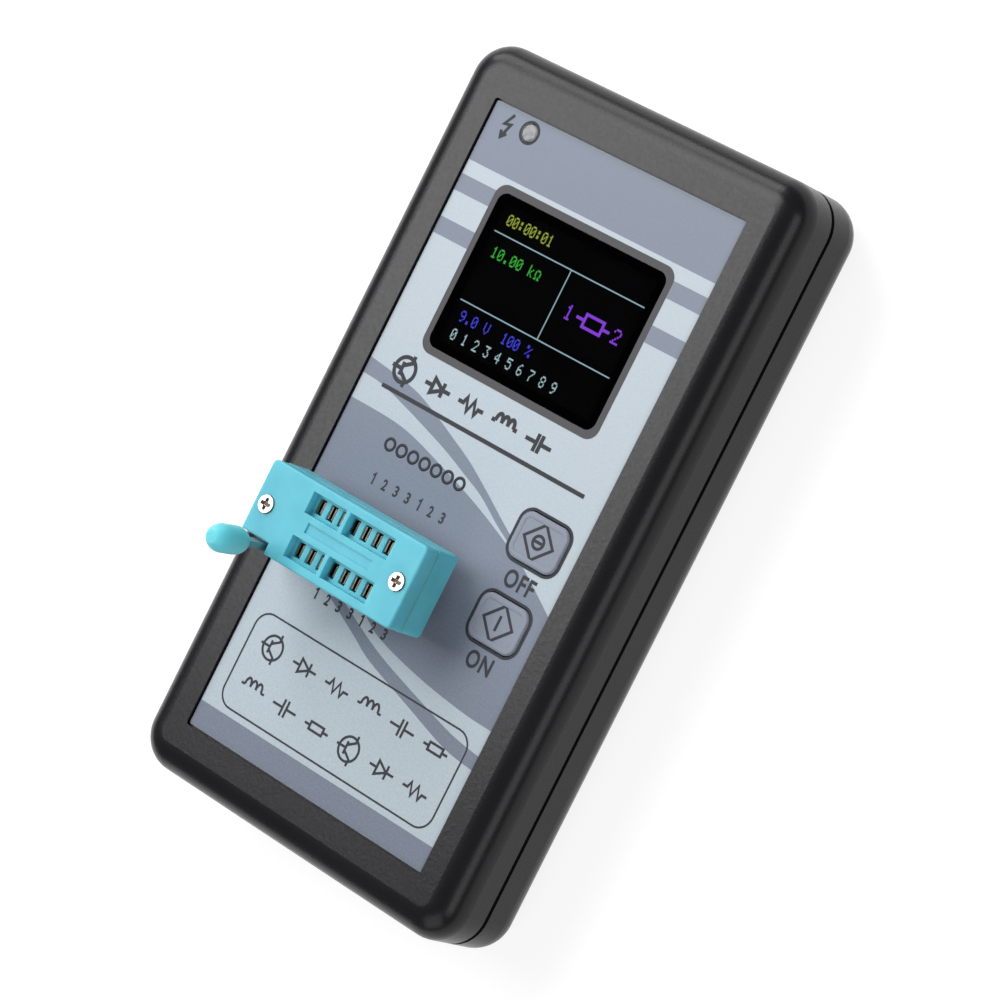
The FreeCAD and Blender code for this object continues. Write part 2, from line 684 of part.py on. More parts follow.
def socket_base():
    tools = []
    for x, y in contact_places():
        tools.append(block(x, y, WELL_W, WELL_L, SOCKET_BOTTOM + WELL_FLOOR, COVER_BOTTOM))
        tail = TAIL_SIDE + 2 * TAIL_GAP
        tools.append(block(x, y, tail, tail, SOCKET_BOTTOM, SOCKET_BOTTOM + WELL_FLOOR))
    half = SLIDER_W / 2 + SLIDER_SIDE_GAP
    end = SLIDER_X1 + SLIDER_END_GAP
    tools.append(box(SLIDER_X0, end, SOCKET_Y - half, SOCKET_Y + half, SLIDER_Z, COVER_BOTTOM))
    room = CAM_R + CAM_ROOM
    cam_z = PIVOT_Z - CAM_R - CAM_OFFSET - CAM_ROOM
    tools.append(box(PIVOT_X - room, SLIDER_X0, SOCKET_Y - half, SOCKET_Y + half, cam_z, COVER_BOTTOM))
    tools.append(rod_y(PIVOT_X, PIVOT_Z, SHAFT_R + SHAFT_CLEAR, SOCKET_Y0, SOCKET_Y + ROW_PITCH / 2))
    tip = SOCKET_TOP - SOCKET_SCREW_SINK - SOCKET_SCREW_L
    for x in SOCKET_SCREW_X:
        tools.append(rod(x, SOCKET_Y, SOCKET_SCREW_R, tip, COVER_BOTTOM))
    return cut(socket_block(SOCKET_BOTTOM, COVER_BOTTOM, 0), tools)


def socket_cover():
    cover = soften(socket_block(COVER_BOTTOM, SOCKET_TOP, COVER_INSET), COVER_EDGE_R, SOCKET_TOP)
    tools = []
    split0, split1 = SLOT_SPLIT_X - SLOT_SPLIT_W / 2, SLOT_SPLIT_X + SLOT_SPLIT_W / 2
    for y in ROW_YS:
        for x0, x1 in ((SLOT_X0, split0), (split1, SLOT_X1)):
            tools.append(box(x0, x1, y - SLOT_L / 2, y + SLOT_L / 2, SOCKET_TOP - SLOT_DEPTH, SOCKET_TOP))
    for x, y in contact_places():
        tools.append(block(x, y, WELL_W, WELL_L, COVER_BOTTOM, SOCKET_TOP))
    tools.append(box(LABEL_X0, LABEL_X1, SOCKET_Y - LABEL_L / 2, SOCKET_Y + LABEL_L / 2,
                     SOCKET_TOP - LABEL_SINK, SOCKET_TOP))
    seat = SOCKET_TOP - SOCKET_SCREW_SINK
    for x in SOCKET_SCREW_X:
        tools.append(rod(x, SOCKET_Y, SOCKET_SCREW_HEAD_R + SOCKET_SCREW_HEAD_GAP, seat, SOCKET_TOP))
        tools.append(rod(x, SOCKET_Y, SOCKET_SCREW_R, COVER_BOTTOM, seat))
    return cut(cover, tools)


def socket_contacts():
    """Each contact is a fork of two leaves on a foot, with a tail that plugs into the riser."""
    made = []
    foot_z = SOCKET_BOTTOM + WELL_FLOOR
    top = SOCKET_TOP - BLADE_TOP_SINK
    reach = BLADE_MOUTH / 2 + BLADE_T
    for x, y in contact_places():
        foot = block(x, y, 2 * reach, BLADE_L, foot_z, foot_z + BLADE_T)
        leaves = []
        for s in (-1, 1):
            leaves.append(block(x + s * (reach - BLADE_T / 2), y, BLADE_T, BLADE_L, foot_z, top))
        tail = block(x, y, TAIL_SIDE, TAIL_SIDE, SOCKET_BOTTOM - TAIL_L, foot_z + BLADE_T)
        made.append(join(foot, leaves + [tail]))
    return Part.makeCompound(made)


def socket_screws():
    made = []
    for x in SOCKET_SCREW_X:
        made.append(pan_screw(x, SOCKET_Y, SOCKET_TOP - SOCKET_SCREW_SINK, SOCKET_SCREW_HEAD_R,
                              SOCKET_SCREW_HEAD_T, SOCKET_SCREW_R, SOCKET_SCREW_L, True))
    return Part.makeCompound(made)


def socket_slider():
    """A comb plate with an upright tab in front of the cam."""
    half = SLIDER_W / 2
    plate = box(SLIDER_X0, SLIDER_X1, SOCKET_Y - half, SOCKET_Y + half, SLIDER_Z, SLIDER_Z + SLIDER_T)
    tab_top = SLIDER_Z + SLIDER_T + SLIDER_TAB_H - SLIDER_TOP_GAP
    tab = box(SLIDER_X0, SLIDER_X0 + SLIDER_TAB_T, SOCKET_Y - half, SOCKET_Y + half, SLIDER_Z, tab_top)
    notches = []
    for x in CONTACT_XS:
        for s in (-1, 1):
            notches.append(block(x, SOCKET_Y + s * half, TOOTH_NOTCH_W, 2 * TOOTH_NOTCH_L,
                                 SLIDER_Z, SLIDER_Z + SLIDER_T))
    return cut(join(plate, [tab]), notches)


def lean(shape):
    """Turn a lever piece from upright to its raked place about the pivot."""
    return shape.rotate(Vector(PIVOT_X, 0, PIVOT_Z), Vector(0, -1, 0), LEVER_RAKE)


def splay(shape):
    """Turn the part of the lever above its bend outward, away from the socket."""
    return shape.rotate(Vector(PIVOT_X, ARM_Y, BEND_Z), Vector(1, 0, 0), LEVER_SPLAY)


def lever_arm():
    x0, x1 = PIVOT_X - ARM_W / 2, PIVOT_X + ARM_W / 2
    plate = box(x0, x1, ARM_Y1 - ARM_T, ARM_Y1, PIVOT_Z, BEND_Z)
    bend = rod_x(ARM_Y, BEND_Z, ARM_T / 2, x0, x1)
    top = PIVOT_Z + KNOB_FROM + ARM_IN_KNOB
    upper = splay(box(x0, x1, ARM_Y1 - ARM_T, ARM_Y1, BEND_Z, top))
    hub = rod_y(PIVOT_X, PIVOT_Z, ARM_END_R, ARM_Y1 - ARM_T, ARM_Y1)
    shaft = rod_y(PIVOT_X, PIVOT_Z, SHAFT_R, ARM_Y1, SOCKET_Y + ROW_PITCH / 2 - SHAFT_END_GAP)
    cam = rod_y(PIVOT_X, PIVOT_Z - CAM_OFFSET, CAM_R, SOCKET_Y - CAM_W / 2, SOCKET_Y + CAM_W / 2)
    arm = lean(join(plate, [bend, upper, hub, shaft]))
    return join(arm, [cam])


def lever_knob():
    """A rounded grip turned about the arm, with a flat tip and a pocket that holds the arm."""
    z0 = PIVOT_Z + KNOB_FROM
    z1 = z0 + KNOB_L

    def at(r, z):
        return Vector(PIVOT_X + r, ARM_Y, z)

    belly = z0 + KNOB_SHOULDER
    crown = z1 - KNOB_SHOULDER
    low_bulge = at(KNOB_R - KNOB_ROOT_FALL, z0 + KNOB_SHOULDER * KNOB_ROOT_SHARE)
    high_bulge = at(KNOB_R - KNOB_TIP_FALL, crown + KNOB_SHOULDER * KNOB_TIP_SHARE)
    low = Part.Arc(at(KNOB_ROOT_R, z0), low_bulge, at(KNOB_R, belly)).toShape()
    side = Part.LineSegment(at(KNOB_R, belly), at(KNOB_R, crown)).toShape()
    high = Part.Arc(at(KNOB_R, crown), high_bulge, at(KNOB_TIP_R, z1)).toShape()
    tip = Part.LineSegment(at(KNOB_TIP_R, z1), at(0, z1)).toShape()
    axis = Part.LineSegment(at(0, z1), at(0, z0)).toShape()
    root = Part.LineSegment(at(0, z0), at(KNOB_ROOT_R, z0)).toShape()
    half = Part.Face(Part.Wire([low, side, high, tip, axis, root]))
    grip = half.revolve(Vector(PIVOT_X, ARM_Y, 0), Vector(0, 0, 1), 360)
    pocket = block(PIVOT_X, ARM_Y, ARM_W, ARM_T, z0, z0 + ARM_IN_KNOB)
    return lean(splay(grip.cut(pocket)))


# Battery

def battery():
    z1 = BATTERY_Z0 + BATTERY_T
    can = box(BATTERY_X0, BATTERY_X1, BATTERY_Y0, BATTERY_Y0 + BATTERY_W, BATTERY_Z0, z1)
    lengthwise = [e for e in can.Edges if e.BoundBox.XLength > BATTERY_L / 2]
    can = can.makeFillet(BATTERY_R, lengthwise)
    studs = []
    for s in (-1, 1):
        y = BATTERY_Y + s * TERMINAL_SPACING / 2
        studs.append(rod_x(y, BATTERY_Z, TERMINAL_R, BATTERY_X1, BATTERY_X1 + TERMINAL_L))
    return join(can, studs)


def battery_snap():
    half_w, half_h = CLIP_W / 2, CLIP_H / 2
    clip = box(CLIP_X0, CLIP_X0 + CLIP_T, BATTERY_Y - half_w, BATTERY_Y + half_w, BATTERY_Z - half_h, BATTERY_Z + half_h)
    cups = []
    for s in (-1, 1):
        y = BATTERY_Y + s * TERMINAL_SPACING / 2
        cups.append(rod_x(y, BATTERY_Z, TERMINAL_R + CUP_GAP, CLIP_X0, BATTERY_X1 + TERMINAL_L + CUP_GAP))
    return cut(clip, cups)


def battery_lead(z, pin):
    start_y = BATTERY_Y + CLIP_W / 2
    end_x = PLUG_X + pin * PIN_SPACING / 2
    points = [(LEAD_X, start_y, z), (LEAD_X, PLUG_Y, z), (end_x, PLUG_Y, z), (end_x, PLUG_Y, BOARD_TOP + PLUG_H)]
    return tube(points, LEAD_R, LEAD_BEND)


NODES = {
    "front_shell": front_shell(),
    "rear_shell": rear_shell(),
    "battery_door": battery_door(),
    "case_screws": case_screws(),
    "front_overlay": front_overlay(),
    "display_window": display_window(),
    "off_key": key(OFF_KEY_Y),
    "test_key": key(TEST_KEY_Y),
    "off_switch_body": switch_body(OFF_KEY_Y),
    "test_switch_body": switch_body(TEST_KEY_Y),
    "off_switch_plunger": switch_plunger(OFF_KEY_Y),
    "test_switch_plunger": switch_plunger(TEST_KEY_Y),
    "indicator_led": indicator_led(),
    "led_legs": led_legs(),
    "display_panel": display_panel(),
    "display_board": display_board(),
    "display_header": display_header(),
    "display_spacers": display_spacers(),
    "main_board": main_board(),
    "board_screws": board_screws(),
    "microcontroller": microcontroller(),
    "crystal": crystal(),
    "voltage_regulator": voltage_regulator(),
    "capacitors": capacitors(),
    "measuring_resistors": measuring_resistors(),
    "power_connector": power_connector(),
    "socket_riser": socket_riser(),
    "socket_base": socket_base(),
    "socket_cover": socket_cover(),
    "socket_contacts": socket_contacts(),
    "socket_screws": socket_screws(),
    "socket_slider": socket_slider(),
    "lever_arm": lever_arm(),
    "lever_knob": lever_knob(),
    "battery": battery(),
    "battery_snap": battery_snap(),
    "battery_lead_red": battery_lead(RED_LEAD_Z, -1),
    "battery_lead_black": battery_lead(BLACK_LEAD_Z, 1),
}

os.makedirs("parts", exist_ok=True)
for name, shape in NODES.items():
    shape.exportStep("parts/" + name + ".step")
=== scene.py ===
"""Looks of a handheld component tester: grained dark case, printed panel film, lit colour display,
sprung keys, milky lamp and a turquoise lever-operated test socket.

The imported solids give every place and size. Printed layout below is in millimetres on the panel,
measured from the centre of the case, with X to the right and Y to the lamp's end.
"""

import math

import bmesh
import bpy
from mathutils import Matrix, Vector


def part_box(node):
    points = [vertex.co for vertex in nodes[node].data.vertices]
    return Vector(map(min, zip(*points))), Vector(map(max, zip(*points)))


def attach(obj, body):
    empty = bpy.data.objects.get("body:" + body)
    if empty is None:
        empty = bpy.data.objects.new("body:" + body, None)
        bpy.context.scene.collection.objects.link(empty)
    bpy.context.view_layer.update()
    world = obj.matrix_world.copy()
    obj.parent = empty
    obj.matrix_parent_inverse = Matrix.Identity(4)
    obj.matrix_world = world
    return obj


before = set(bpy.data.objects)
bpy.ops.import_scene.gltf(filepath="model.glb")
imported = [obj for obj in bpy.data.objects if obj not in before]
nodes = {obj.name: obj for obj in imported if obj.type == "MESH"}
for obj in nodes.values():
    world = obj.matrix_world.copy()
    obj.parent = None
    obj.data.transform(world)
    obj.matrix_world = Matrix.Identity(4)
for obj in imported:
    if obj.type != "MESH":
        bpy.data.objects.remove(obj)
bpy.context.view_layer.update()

MM = 0.001


def box_mm(node):
    """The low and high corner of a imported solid."""
    low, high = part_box(node)
    return Vector(low) / MM, Vector(high) / MM


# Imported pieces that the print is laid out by
OVERLAY_LOW, OVERLAY_HIGH = box_mm("front_overlay")
WINDOW_LOW, WINDOW_HIGH = box_mm("display_window")
RISER_LOW, RISER_HIGH = box_mm("socket_riser")
LAMP_LOW, LAMP_HIGH = box_mm("indicator_led")
SCREW_LOW, SCREW_HIGH = box_mm("socket_screws")
LAMP_MIDDLE = (LAMP_LOW + LAMP_HIGH) / 2
PANEL_TOP = OVERLAY_HIGH.z
SCREEN_TOP = box_mm("display_panel")[1].z
KEYS = ("off_key", "test_key")

# Ink: its thickness, how far it sinks in, and how far later layers and lines lie above earlier ones
INK_T = 0.02
INK_SINK = 0.005
SECOND_INK = 0.02
PRINT_STEP = 0.0006
INK_Z = PANEL_TOP + SECOND_INK

# Straight steps that stand for a curve between two points, a corner, a circle and a half turn
CURVE_STEPS = 8
CORNER_STEPS = 8
CIRCLE_STEPS = 40
HALF_TURN_STEPS = 8

# A sharp corner reaches out by at most a line's half width divided by this
MITRE_LEAST = 0.5

# Openings in the film, and how far the block that cuts the print for them reaches up and down
KEY_CORNER_R = 2.0
KEY_GAP = 0.2
WINDOW_R = 1.8
RISER_GAP = 0.6
LAMP_HOLE_R = 1.6
CUT_REACH = 1.0

# Bands across the film, the display's border and the underline, as x0, x1, y0, y1
EDGE = 0.05
PRINT_LEFT = OVERLAY_LOW.x + EDGE
PRINT_RIGHT = OVERLAY_HIGH.x - EDGE
PRINT_LOW = OVERLAY_LOW.y + EDGE
PRINT_TOP = OVERLAY_HIGH.y - EDGE
TOP_BAND_Y = 45.7
SIDE_BANDS = ((40.3, 43.2), (32.7, 35.6))
BAND_TUCK = 0.3
LOW_BAND_Y = -51.9
BORDER = (-18.9, 19.5, 15.1, 44.9)
BORDER_R = 2.3
MASK_W = 1.5
UNDERLINE = (-22.1, 22.5, 6.85, 7.55)

# Upper and lower edge of each curved sweep, from left to right
UPPER_SWEEP_TOP = (
    (-26.6, 10.3), (-20, 9.6), (-15, 8.8), (-10, 7.2), (-5, 5.3),
    (0, 3.3), (5, 0.8), (10, -1.9), (14, -4.0),
)
UPPER_SWEEP_LOW = (
    (-26.6, 7.5), (-22, 7.2), (-15, 5.6), (-10, 4.3), (-5, 2.9),
    (0, 1.2), (5, -0.6), (10, -3.2), (14, -5.0),
)
WIDE_SWEEP_TOP = ((-26.6, 3.1), (-15, 2.8), (-5, 0.6), (5, -2.2), (13.5, -5.2), (19, -7.5), (26.6, -11.8))
WIDE_SWEEP_LOW = ((-26.6, -13), (-15, -20), (-5, -26), (0, -28.3), (10, -30.3), (20, -31.4), (26.6, -31.6))
LOWER_SWEEP_TOP = ((-10, -26), (0, -30), (10, -32.8), (20, -35.2), (26.6, -36))
LOWER_SWEEP_LOW = ((-13, -26.5), (-5, -30), (0, -32.2), (10, -35), (20, -37.7), (26.6, -38.4))

# Figures beside the socket, with a row of plain rings over them
DIGITS = "1233123"
DIGIT_X0 = -15.3
DIGIT_STEP = 2.59
DIGIT_W = 0.95
DIGIT_H = 1.9
DIGIT_ROWS = (-6.7, -27.3)
DIGIT_WEIGHT = 0.03
ONE_LINE_W = 0.34
ONE_STEM_X = 0.1
ONE_FLAG_X = -0.32
ONE_FLAG_DROP = 0.45
PIN_MARK_Y = -0.6
PIN_MARK_R = 0.95
PIN_MARK_LINE_W = 0.5
PIN_MARK_STEPS = 28

# Keys: ring, signs, pressed border, labels and the drawing of letters
KEY_LINE_W = 0.44
KEY_SIGN_W = 0.5
DIAMOND_HALF = 3.05
OFF_RING_R = 1.05
OFF_DASH_HALF = 0.75
ON_BAR_HALF = 1.3
PILLOW_INSET = 0.6
PILLOW_W = 0.9
PILLOW_RISE = 0.07
OFF_LABEL = (15.9, 22.0, -10.97, -7.93)
ON_LABEL = (16.2, 21.4, -24.85, -21.85)
LABEL_WEIGHT = 0.026
LETTER_SPACING = 1.12
LETTER_STEPS = 4
LETTER_DEPTH = 0.5
WELD = 1e-5

# Circuit signs in the chart box and above the underline: a sign's size is half its length
CHART_BOX = (-23.6, 24.1, -50.7, -33.9)
CHART_R = 2.8
CHART_LINE_W = 0.3
CHART_ROWS = (-38.6, -45.9)
CHART_SIGN = 2.6
CHART_SIGN_W = 0.4
HEAD_X0 = -19.3
HEAD_Y = 11.0
HEAD_SIGN = 2.7
HEAD_SIGN_W = 0.66
HEAD_COUNT = 5
SIGN_STEP = 7.4

# Ring round the lamp, and the jagged arrow beside it as points about its middle
LAMP_RING_W = 0.4
LAMP_MARK = (-22.6, 53.2)
LAMP_MARK_W = 0.55
BOLT = ((0.5, 2.0), (-0.7, 0.1), (0.6, 0.3), (-0.3, -2.0))
BARB = ((-0.75, -1.0), (-0.35, -2.1), (0.55, -1.3))

# Lit picture: rules, readings as name, text, y, letter step and tint, and a symbol between two numbers
RULE_LEFT = -16.1
RULE_RIGHT = 16.5
RULE_TOP = 37.4
RULE_LOW = 25.2
DIVIDER_X = 0.8
RULE_W = 0.2
READING_X = -14.7
READING_H = 1.9
READINGS = (
    ("reading_count", "00:00:01", 39.9, 1.26, "olive"),
    ("reading_value", "10.00 kΩ", 34.3, 1.36, "green"),
    ("reading_supply", "9.0 V  100 %", 22.9, 1.32, "blue"),
    ("reading_scale", "0 1 2 3 4 5 6 7 8 9", 19.7, 1.22, "pale"),
)
SYMBOL = (7.3, 11.0, 30.3, 32.4)
SYMBOL_ENDS = (5.6, 12.6)
SYMBOL_W = 0.5
PIN_NUMBERS = (("reading_pin_a", "1", 3.2), ("reading_pin_b", "2", 13.3))
PIN_NUMBER_STEP = 1.9
PIN_NUMBER_H = 2.5

# Rows of lit cells of each character on the screen, from the top
GLYPHS = {
    "0": "01110 10001 10011 10101 11001 10001 01110",
    "1": "00100 01100 00100 00100 00100 00100 01110",
    "2": "01110 10001 00001 00010 00100 01000 11111",
    "3": "11111 00010 00100 00010 00001 10001 01110",
    "4": "00010 00110 01010 10010 11111 00010 00010",
    "5": "11111 10000 11110 00001 00001 10001 01110",
    "6": "00110 01000 10000 11110 10001 10001 01110",
    "7": "11111 00001 00010 00100 01000 01000 01000",
    "8": "01110 10001 10001 01110 10001 10001 01110",
    "9": "01110 10001 10001 01111 00001 00010 01100",
    ":": "00000 01100 01100 00000 01100 01100 00000",
    ".": "00000 00000 00000 00000 00000 01100 01100",
    "V": "10001 10001 10001 10001 10001 01010 00100",
    "k": "10000 10000 10010 10100 11000 10100 10010",
    "Ω": "00000 01110 10001 10001 10001 01010 11011",
    "%": "11000 11001 00010 00100 01000 10011 00011",
    " ": "",
}
CELLS_PER_STEP = 6
CELL_ROWS = 7
CELL_GAP = 0.02

# Floors of the cross recesses in the socket's screws, which carry brown painted shade
RECESS_SINK = 0.58
RECESS_REACH = 0.95
RECESS_W = 0.56

# Where the battery's paler wrap begins, and how softly
WRAP_X = 8.0
WRAP_FADE = 0.2

# Floor, in metres and plain levels
FLOOR_HALF = 3.0
FLOOR_DROP = 0.0002
FLOOR_SHADE = 0.3
FLOOR_GLOW = 0.82

# Lamps aimed at the floor under the middle of the case: name, place and size in metres, and watts
WORLD_LEVEL = 0.15
LAMPS = (
    ("key_light", (-0.56, 0.25, 0.85), (0.9, 0.46), 8.4),
    ("back_light", (-0.7, 0.75, 0.45), (0.8, 0.45), 5.0),
    ("rim_light", (0.78, 0.05, 0.52), (0.9, 0.4), 2.4),
    ("fill_light", (0.3, -0.85, 0.6), (0.8, 0.8), 2.6),
)

# Camera: image side and focal length in pixels, place in millimetres from the panel's middle
IMAGE_SIDE = 1001
FOCAL_PX = 4204.22
SENSOR = 36.0
CLIP = (0.01, 20)
CAMERA_PLACE = (382.30, 51.66, 539.2)
CAMERA_RIGHT = (0.71560, 0.44528, -0.53819)
CAMERA_DOWN = (0.40689, -0.89198, -0.19700)
CAMERA_AHEAD = (-0.56777, -0.07801, -0.81948)


# Materials

def linear(red, green, blue):
    """A colour written as the 0 to 255 values of a screen, as the shader wants it."""
    made = []
    for value in (red, green, blue):
        part = value / 255
        made.append(part / 12.92 if part <= 0.04045 else ((part + 0.055) / 1.055) ** 2.4)
    return (*made, 1.0)


def scaled(colour, factor):
    return (colour[0] * factor, colour[1] * factor, colour[2] * factor, 1.0)


class Finish:
    """A material under construction: its node tree, its main shader and its surface coordinates."""

    def __init__(self, name):
        self.material = bpy.data.materials.new(name)
        self.material.use_nodes = True
        self.tree = self.material.node_tree
        self.shader = self.tree.nodes["Principled BSDF"]
        self.place = self.add("ShaderNodeTexCoord").outputs["Object"]

    def add(self, kind, **settings):
        node = self.tree.nodes.new(kind)
        for key, value in settings.items():
            setattr(node, key, value)
        return node

    def link(self, source, target):
        self.tree.links.new(source, target)

    def stretched(self, x, y, z):
        mapping = self.add("ShaderNodeMapping")
        mapping.inputs["Scale"].default_value = (x, y, z)
        self.link(self.place, mapping.inputs["Vector"])
        return mapping.outputs["Vector"]

    def noise(self, size_mm, detail=3.0, roughness=0.5, vector=None):
        node = self.add("ShaderNodeTexNoise")
        node.inputs["Scale"].default_value = 1 / (size_mm * MM)
        node.inputs["Detail"].default_value = detail
        node.inputs["Roughness"].default_value = roughness
        self.link(vector or self.place, node.inputs["Vector"])
        return node.outputs["Fac"]

    def bricks(self, size_mm, shift, joint, first, second, joint_colour):
        node = self.add("ShaderNodeTexBrick", offset=shift)
        node.inputs["Scale"].default_value = 1 / (size_mm * MM)
        node.inputs["Mortar Size"].default_value = joint
        node.inputs["Color1"].default_value = first
        node.inputs["Color2"].default_value = second
        node.inputs["Mortar"].default_value = joint_colour
        self.link(self.place, node.inputs["Vector"])
        return node

    def ranged(self, value, low, high, out_low, out_high):
        node = self.add("ShaderNodeMapRange")
        node.inputs["From Min"].default_value = low
        node.inputs["From Max"].default_value = high
        node.inputs["To Min"].default_value = out_low
        node.inputs["To Max"].default_value = out_high
        self.link(value, node.inputs["Value"])
        return node.outputs["Result"]

    def blended(self, factor, first, second):
        node = self.add("ShaderNodeMix", data_type="RGBA")
        self.link(factor, node.inputs["Factor"])
        for socket, colour in ((node.inputs[6], first), (node.inputs[7], second)):
            if hasattr(colour, "links"):
                self.link(colour, socket)
            else:
                socket.default_value = colour
        return node.outputs[2]

    def bumped(self, height, depth_mm, under=None):
        node = self.add("ShaderNodeBump")
        node.inputs["Strength"].default_value = 1.0
        node.inputs["Distance"].default_value = depth_mm * MM
        self.link(height, node.inputs["Height"])
        if under is not None:
            self.link(under, node.inputs["Normal"])
        return node.outputs["Normal"]

    def along(self, axis):
        split = self.add("ShaderNodeSeparateXYZ")
        self.link(self.place, split.inputs["Vector"])
        return split.outputs[axis]

    def set(self, **values):
        for name, value in values.items():
            self.shader.inputs[name.replace("_", " ")].default_value = value

    def colour(self, source):
        self.link(source, self.shader.inputs["Base Color"])

    def rough(self, source):
        self.link(source, self.shader.inputs["Roughness"])

    def normal(self, source):
        self.link(source, self.shader.inputs["Normal"])


def moulded_plastic(name, colour, roughness, grain_mm, grain_depth):
    """Moulded plastic: faint cloudiness, a fine sparked grain and uneven gloss."""
    made = Finish(name)
    cloud = made.noise(9.0, detail=4.0)
    grain = made.noise(grain_mm, detail=2.0, roughness=0.6)
    dark, light = scaled(colour, 0.94), scaled(colour, 1.06)
    made.colour(made.blended(made.ranged(cloud, 0.3, 0.7, 0, 1), dark, light))
    made.rough(made.ranged(grain, 0.3, 0.7, roughness - 0.07, roughness + 0.07))
    made.normal(made.bumped(grain, grain_depth))
    return made.material


def case_plastic():
    """Charcoal case: a pebbled spark grain with a finer one on it, slightly rubbed on its high spots."""
    made = Finish("charcoal_case")
    pebble = made.noise(0.55, detail=2.0, roughness=0.55)
    fine = made.noise(0.16, detail=1.0)
    cloud = made.noise(22.0, detail=3.0)
    base = made.blended(made.ranged(cloud, 0.3, 0.7, 0, 1), linear(24, 23, 26), linear(28, 27, 31))
    rubbed = made.ranged(pebble, 0.55, 0.75, 0, 0.25)
    made.colour(made.blended(rubbed, base, linear(42, 41, 44)))
    made.rough(made.ranged(pebble, 0.3, 0.7, 0.3, 0.24))
    made.normal(made.bumped(fine, 0.006, under=made.bumped(pebble, 0.014)))
    made.set(Specular_IOR_Level=0.27)
    return made.material


def film(name, top_colour, shaded_low_colour):
    """Satin film painted darker down the panel, as painted shade of the light falling off towards its low
    end, with a very fine texture.
    """
    made = Finish(name)
    # Painted shade: the colour darkens from the top colour to the low colour down the panel, standing for
    # the light falling off
    down = made.ranged(made.along("Y"), OVERLAY_LOW.y * MM, OVERLAY_HIGH.y * MM, 0, 1)
    base = made.blended(down, shaded_low_colour, top_colour)
    speck = made.noise(0.35, detail=2.0)
    made.colour(made.blended(made.ranged(speck, 0.35, 0.75, 0, 0.35), base, scaled(top_colour, 1.18)))
    texture = made.noise(0.22, detail=1.0)
    made.rough(made.ranged(texture, 0.3, 0.7, 0.42, 0.54))
    made.normal(made.bumped(texture, 0.006))
    made.set(Specular_IOR_Level=0.12)
    return made.material


def ink(name, colour, shine=0.12):
    """Printed ink: dense, slightly uneven in cover."""
    made = Finish(name)
    cover = made.noise(0.3, detail=3.0)
    made.colour(made.blended(made.ranged(cover, 0.4, 0.8, 0, 0.5), colour, scaled(colour, 1.35)))
    made.rough(made.ranged(cover, 0.3, 0.7, 0.42, 0.52))
    made.set(Specular_IOR_Level=shine)
    return made.material


def metal(name, colour, roughness, streak, relief=0.004):
    """Plain metal with drawn streaks and small dull patches."""
    made = Finish(name)
    drawn = made.noise(0.5, detail=4.0, vector=made.stretched(*streak))
    patch = made.noise(1.6, detail=3.0)
    made.colour(made.blended(made.ranged(patch, 0.45, 0.75, 0, 0.6), colour, scaled(colour, 0.72)))
    made.rough(made.ranged(drawn, 0.25, 0.75, roughness - 0.08, roughness + 0.12))
    made.normal(made.bumped(drawn, relief))
    made.set(Metallic=1.0)
    return made.material


def turquoise(name, dark, light, depth, reach_mm):
    """Turquoise moulding: pale fibre specks, soft depth and a satin skin."""
    made = Finish(name)
    cloud = made.noise(5.0, detail=4.0)
    base = made.blended(made.ranged(cloud, 0.3, 0.7, 0, 1), dark, light)
    fibre = made.noise(0.3, detail=3.0)
    made.colour(made.blended(made.ranged(fibre, 0.6, 0.8, 0, 0.2), base, linear(150, 222, 234)))
    skin = made.noise(0.2, detail=2.0)
    made.rough(made.ranged(skin, 0.3, 0.7, 0.36, 0.5))
    made.normal(made.bumped(skin, 0.008, under=made.bumped(cloud, 0.03)))
    made.set(Subsurface_Weight=depth, Subsurface_Radius=(0.3, 0.8, 0.9), Subsurface_Scale=reach_mm * MM)
    made.set(Specular_IOR_Level=0.25)
    return made.material


def screen_black():
    """The display's face where it is dark: a dull near black."""
    made = Finish("screen_black")
    smear = made.noise(7.0, detail=3.0)
    made.colour(made.blended(made.ranged(smear, 0.3, 0.7, 0, 1), linear(1, 1, 2), linear(3, 3, 4)))
    made.rough(made.ranged(smear, 0.3, 0.7, 0.3, 0.42))
    made.set(Specular_IOR_Level=0.0)
    return made.material


def lit_pixels(name, colour):
    """Light of one screen colour, broken into rows of small cells."""
    made = Finish(name)
    cell = made.bricks(0.36, 0.0, 0.05, colour, scaled(colour, 0.86), scaled(colour, 0.45))
    cell.inputs["Brick Width"].default_value = 0.5
    cell.inputs["Row Height"].default_value = 0.5
    made.link(cell.outputs["Color"], made.shader.inputs["Emission Color"])
    made.set(Base_Color=(0.01, 0.01, 0.01, 1), Emission_Strength=1.0)
    made.set(Roughness=0.5, Specular_IOR_Level=0.02)
    return made.material


def clear_window():
    """Thin clear sheet: it lets the screen through and keeps only a trace of gloss and wipe marks."""
    made = Finish("clear_window")
    wipe = made.noise(3.0, detail=4.0, vector=made.stretched(1.0, 0.25, 1.0))
    made.rough(made.ranged(wipe, 0.35, 0.75, 0.1, 0.2))
    made.set(Base_Color=(0.006, 0.006, 0.007, 1), Alpha=0.02, Specular_IOR_Level=0.04)
    return made.material


def lamp_plastic():
    """Milky lamp: cloudy resin that spreads light."""
    made = Finish("milky_lamp")
    cloud = made.noise(0.9, detail=3.0)
    dark, light = linear(138, 140, 143), linear(176, 177, 178)
    made.colour(made.blended(made.ranged(cloud, 0.35, 0.7, 0, 1), dark, light))
    made.rough(made.ranged(cloud, 0.3, 0.7, 0.22, 0.34))
    made.set(Subsurface_Weight=0.3, Subsurface_Radius=(0.9, 0.9, 0.9), Subsurface_Scale=MM)
    made.set(Specular_IOR_Level=0.15)
    return made.material


